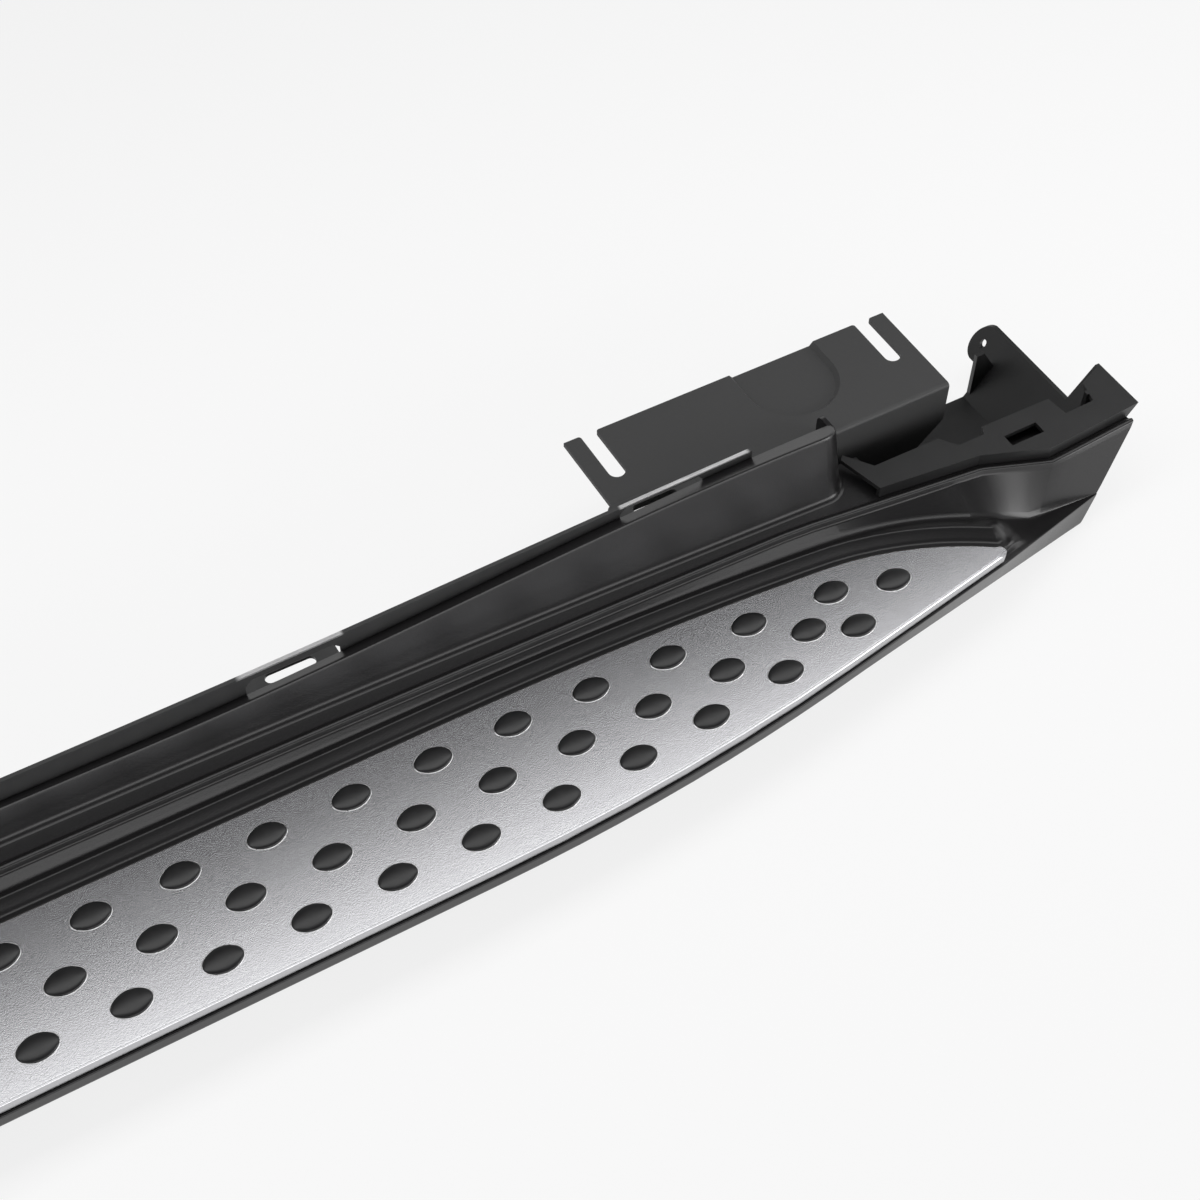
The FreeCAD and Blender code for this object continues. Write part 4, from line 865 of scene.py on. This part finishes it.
# %%
LUG_LOW, LUG_REACH, LUG_ROUND = 77.1, 10.5, 5.25
lug_back = LEDGE_BACK + LUG_REACH
lug_top = ledge_z(UPSTAND_END, LEDGE_BACK)
lug = [(LEDGE_BACK - WALL, LUG_LOW), (lug_back, LUG_LOW)]
for k in range(7):
    turn = math.radians(90 * k / 6)
    lug.append((
        lug_back - LUG_ROUND * (1 - math.cos(turn)),
        lug_top - LUG_ROUND * (1 - math.sin(turn)),
    ))
lug.append((LEDGE_BACK - WALL, lug_top))
for hand in (1, -1):
    points = [Vector((hand * (UPSTAND_END - WALL), y, z)) for y, z in lug]
    add_prism(shell, points, Vector((hand * (WALL - 0.05), 0, 0)))


# %% [markdown]
# Inside the shell, cross ribs stiffen it in front of the beam and behind it, and round bosses
# take the tray's screws. Both reach a little into the shell's wall, so that no gap is left.

# %%
PITCH = 125.0
BEAM_FRONT, BEAM_BACK = -69.8, -29.2
RIB_THICKNESS, INTO_WALL = 2.5, 0.8
BOSS_RADIUS, BOSS_Y, BOSS_SIDES = 5.5, 2.5, 24
BELLY_POINTS = 5


def ceiling_at(inner, y):
    """Height of the hollow's ceiling over one y, a little inside the wall."""
    near = [p for p in inner[BELLY_POINTS:] if p.x <= y][-1]
    far = inner[inner.index(near) + 1]
    return between(y, near.x, near.y, far.x, far.y) + INTO_WALL


def rib_outlines(x):
    """Outlines of the two ribs of one place: before the beam and behind it."""
    inner = inner_section(x)
    belly = between(TRAY_LIFT, inner[0].y, inner[0].x, inner[1].y, inner[1].x)
    fore = [Vector((belly - INTO_WALL, TRAY_LIFT))]
    fore += [p + Vector((-0.5, 0.5)) for p in inner[1:] if p.x < BEAM_FRONT]
    fore += [Vector((BEAM_FRONT, ceiling_at(inner, BEAM_FRONT))), Vector((BEAM_FRONT, TRAY_LIFT))]
    back = deck_back(x) - WALL
    rear = [Vector((BEAM_BACK, TRAY_LIFT)), Vector((BEAM_BACK, ceiling_at(inner, BEAM_BACK)))]
    for p in inner:
        if BEAM_BACK < p.x < back - 2.0 and p.y > UNDER - 2 * WALL:
            rear.append(p + Vector((0.0, INTO_WALL)))
    rear.append(Vector((back + INTO_WALL, DECK - WALL + INTO_WALL)))
    rear.append(Vector((back + INTO_WALL, TRAY_LIFT)))
    return fore, rear


ribs = 0
for index in range(5):
    x = PITCH * (index + 0.5)
    for outline in rib_outlines(x):
        for hand in (1, -1):
            points = [Vector((hand * (x - RIB_THICKNESS / 2), p.x, p.y)) for p in outline]
            add_prism(shell, points, Vector((hand * RIB_THICKNESS, 0, 0)))
            ribs += 1

bosses = 0
for index in range(1, 6):
    inner = inner_section(PITCH * index)
    for hand in (1, -1):
        rims = [[], []]
        for k in range(BOSS_SIDES):
            angle = 2 * math.pi * k / BOSS_SIDES
            x = hand * PITCH * index + BOSS_RADIUS * math.cos(angle)
            y = BOSS_Y + BOSS_RADIUS * math.sin(angle)
            for rim, z in zip(rims, (TRAY_LIFT, ceiling_at(inner, y))):
                rim.append(shell.verts.new(Vector((x, y, z)) * MM))
        shell.faces.new(list(reversed(rims[0])))
        shell.faces.new(rims[1])
        for k in range(BOSS_SIDES):
            n = (k + 1) % BOSS_SIDES
            shell.faces.new((rims[0][k], rims[0][n], rims[1][n], rims[1][k]))
        bosses += 1
print("ribs:", ribs, "bosses:", bosses)

bmesh.ops.recalc_face_normals(shell, faces=shell.faces)
bmesh.ops.triangulate(shell, faces=[f for f in shell.faces if len(f.verts) > 4])
open_edges = sum(1 for e in shell.edges if len(e.link_faces) != 2)
cover_data = smooth_mesh("cover", shell, 32)
cover_data.materials.append(cover_finish.material)
cover = add_object("cover", cover_data)
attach(cover, "root")
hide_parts("step_cover")
print("cover faces:", len(cover_data.polygons), "open edges:", open_edges)


# %% [markdown]
# ## Rubber studs
# One stud is modelled as a low dome over an oval of four arcs, with the rounded collar of
# its hole. The collar's metal is painted lighter than the plate: a painted highlight, added to
# the light that its rounded shape really catches. A Geometry Nodes tree sets each of the two on
# every place of the pattern: three rows that follow the plate's edges.

# %%
OVAL_SIDES = 48
DOME_RINGS = [(1.0, -1.9), (1.0, 0.0), (1.0, 0.55), (0.985, 0.85), (0.95, 1.12), (0.88, 1.4)]
DOME_RINGS += [(0.76, 1.68), (0.6, 1.9), (0.42, 2.07), (0.22, 2.17)]
DOME_TOP = 2.2
COLLAR_LOOPS = ((0.05, -0.1), (0.05, 0.2), (0.25, 0.28), (0.45, 0.2), (0.65, -0.1))


def oval_radius(angle):
    """Distance to the stud's rim, whose long half is 11.2 mm and short half 7.8 mm."""
    long_half, short_half, tight_share = 11.2, 7.8, 0.7
    tight = tight_share * short_half
    reach, spare = long_half - tight, short_half - tight
    drop = (reach ** 2 - spare ** 2) / (2 * spare)
    wide = short_half + drop
    c, s = abs(math.cos(angle)), abs(math.sin(angle))
    span = math.hypot(drop, reach)
    near = math.atan2(tight * drop / span, reach + tight * reach / span)
    if math.atan2(s, c) < near:
        return reach * c + math.sqrt(max(0.0, tight ** 2 - (reach * s) ** 2))
    return -drop * s + math.sqrt(wide ** 2 - (drop * c) ** 2)


def oval_ring(mesh, z, share=1.0, out=0.0):
    """Vertices along the stud's rim at one height, drawn in by a share or out by a distance."""
    ring = []
    for k in range(OVAL_SIDES):
        angle = 2 * math.pi * k / OVAL_SIDES
        reach = oval_radius(angle) * share + out
        point = Vector((reach * math.cos(angle), reach * math.sin(angle), z))
        ring.append(mesh.verts.new(point * MM))
    return ring


dome = bmesh.new()
rings = [oval_ring(dome, z, share=share) for share, z in DOME_RINGS]
for low_ring, high_ring in zip(rings, rings[1:]):
    for k in range(OVAL_SIDES):
        n = (k + 1) % OVAL_SIDES
        dome.faces.new((low_ring[k], low_ring[n], high_ring[n], high_ring[k]))
top = dome.verts.new(Vector((0, 0, DOME_TOP * MM)))
for k in range(OVAL_SIDES):
    dome.faces.new((rings[-1][k], rings[-1][(k + 1) % OVAL_SIDES], top))
dome.faces.new(list(reversed(rings[0])))
one_stud = add_object("one_stud", smooth_mesh("one_stud", dome, 50))

collar = bmesh.new()
loops = [oval_ring(collar, z, out=out) for out, z in COLLAR_LOOPS]
for near, far in zip(loops, loops[1:] + loops[:1]):
    for k in range(OVAL_SIDES):
        n = (k + 1) % OVAL_SIDES
        collar.faces.new((near[k], far[k], far[n], near[n]))
bmesh.ops.recalc_face_normals(collar, faces=collar.faces)
one_collar = add_object("one_collar", smooth_mesh("one_collar", collar))


# %% [markdown]
# Near the tip the outer rows bend with the plate's edges and the last studs move apart. One
# more stud stands alone in the tip.

# %%
STUD_PITCH = 50.0
BACK_ROW, MIDDLE_ROW, FRONT_ROW = 0.807, 0.505, 0.215
BACK_FOLLOW, MIDDLE_FOLLOW, FRONT_FOLLOW = 0.9, 0.18, 0.85
SPREAD_OUTER, SPREAD_MIDDLE = (3, 1.3, 3.75), (2, 1.2, 7.0)
TIP_STUD, TIP_STUD_BACK = 73.0, 4.0
edge = plate_front(0.0)
count = int((TIP - 95.0) / STUD_PITCH + 0.01)


def spread(k, studs_moved, power, shift):
    """How far the k-th stud of a row moves towards the tip, when it is one of the last."""
    return max(0.0, k + studs_moved - count) ** power * shift


places = []
for k in range(count):
    x = STUD_PITCH * (k + 0.5)
    back_bend = plate_back(x) - plate_back(0.0)
    x += spread(k, *SPREAD_OUTER)
    front_bend = plate_front(x) - edge
    places.append((x, edge + BACK_ROW * PLATE_WIDTH + BACK_FOLLOW * back_bend))
    places.append((x, edge + FRONT_ROW * PLATE_WIDTH + FRONT_FOLLOW * front_bend))
for k in range(count):
    x = STUD_PITCH * k + spread(k, *SPREAD_MIDDLE)
    front_bend = plate_front(x) - edge
    places.append((x, edge + MIDDLE_ROW * PLATE_WIDTH + MIDDLE_FOLLOW * front_bend))
last = TIP - TIP_STUD
places.append((last, (plate_back(last) + plate_front(last)) / 2 + TIP_STUD_BACK))
places += [(-x, y) for x, y in places if x > 1.0]
print("studs:", len(places))

# %%
repeat = bpy.data.node_groups.new("set_on_places", "GeometryNodeTree")
repeat.interface.new_socket("Places", in_out="INPUT", socket_type="NodeSocketGeometry")
repeat.interface.new_socket("Form", in_out="INPUT", socket_type="NodeSocketObject")
repeat.interface.new_socket("Finish", in_out="INPUT", socket_type="NodeSocketMaterial")
repeat.interface.new_socket("Copies", in_out="OUTPUT", socket_type="NodeSocketGeometry")
given = repeat.nodes.new("NodeGroupInput")
made = repeat.nodes.new("NodeGroupOutput")
form = repeat.nodes.new("GeometryNodeObjectInfo")
on_points = repeat.nodes.new("GeometryNodeInstanceOnPoints")
real = repeat.nodes.new("GeometryNodeRealizeInstances")
paint = repeat.nodes.new("GeometryNodeSetMaterial")
for output, target in (
    (given.outputs["Form"], form.inputs["Object"]),
    (given.outputs["Places"], on_points.inputs["Points"]),
    (form.outputs["Geometry"], on_points.inputs["Instance"]),
    (on_points.outputs["Instances"], real.inputs["Geometry"]),
    (real.outputs["Geometry"], paint.inputs["Geometry"]),
    (given.outputs["Finish"], paint.inputs["Material"]),
    (paint.outputs["Geometry"], made.inputs["Copies"]),
):
    repeat.links.new(output, target)


def set_on_places(name, form_object, finish):
    """The form repeated on every place, as one plain mesh."""
    points = bpy.data.meshes.new(name + "_places")
    points.from_pydata([(x * MM, y * MM, TREAD * MM) for x, y in places], [], [])
    piece = add_object(name, points)
    modifier = piece.modifiers.new(name, "NODES")
    modifier.node_group = repeat
    sockets = {s.name: s.identifier for s in repeat.interface.items_tree if s.in_out == "INPUT"}
    modifier[sockets["Form"]] = form_object
    modifier[sockets["Finish"]] = finish.material
    plain = finished_mesh(piece)
    piece.modifiers.clear()
    piece.data = plain
    bpy.data.objects.remove(form_object)
    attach(piece, "root")
    print(name, "faces:", len(plain.polygons), "materials:", len(plain.materials))
    return piece


studs = set_on_places("studs", one_stud, rubber_finish)
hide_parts("tread_studs")
collars = set_on_places("hole_collars", one_collar, collar_highlight_finish)


# %% [markdown]
# ## Broken edges of the pressed and moulded pieces
# Sheet metal and plastic caps have slightly rounded edges that catch the light. A Bevel
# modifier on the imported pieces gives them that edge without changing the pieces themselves.

# %%
EDGE_MM = {
    "support_tray": 0.35,
    "bracket_right": 0.45,
    "bracket_left": 0.45,
    "end_cap_right": 0.6,
    "end_cap_left": 0.6,
    "beam_plugs": 0.5,
    "bracket_bolts": 0.4,
    "bracket_nuts": 0.4,
}
for node, width in EDGE_MM.items():
    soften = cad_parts[node].modifiers.new("edge", "BEVEL")
    soften.width = width * MM
    soften.segments = 2
    soften.limit_method = "ANGLE"
    soften.angle_limit = math.radians(40)
    soften.harden_normals = True
print("pieces with broken edges:", len(EDGE_MM))


# %% [markdown]
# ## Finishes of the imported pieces
# The pieces that stay as they were packed take their finish from this list.

# %%
FINISH_OF = {
    "tread_plate": tread_finish,
    "support_tray": coated_finish,
    "tread_beam": coated_finish,
    "beam_plugs": smooth_finish,
    "beam_rivets": zinc_finish,
    "tray_screws": zinc_finish,
    "cap_screws": zinc_finish,
    "bracket_right": bracket_finish,
    "bracket_left": bracket_finish,
    "end_cap_right": smooth_finish,
    "end_cap_left": smooth_finish,
    "bracket_bolts": zinc_finish,
    "bracket_washers": zinc_finish,
    "bracket_nuts": zinc_finish,
}
for node, finish in FINISH_OF.items():
    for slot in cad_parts[node].material_slots:
        slot.material = finish.material
used = {finish.material.name for finish in FINISH_OF.values()}
used |= {finish.material.name for finish in (cover_finish, rubber_finish, collar_highlight_finish)}
print("finishes:", len(used))


# %% [markdown]
# ## Measuring the box again
# The box is measured again just before the end.

# %%
low_corner, high_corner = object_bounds()
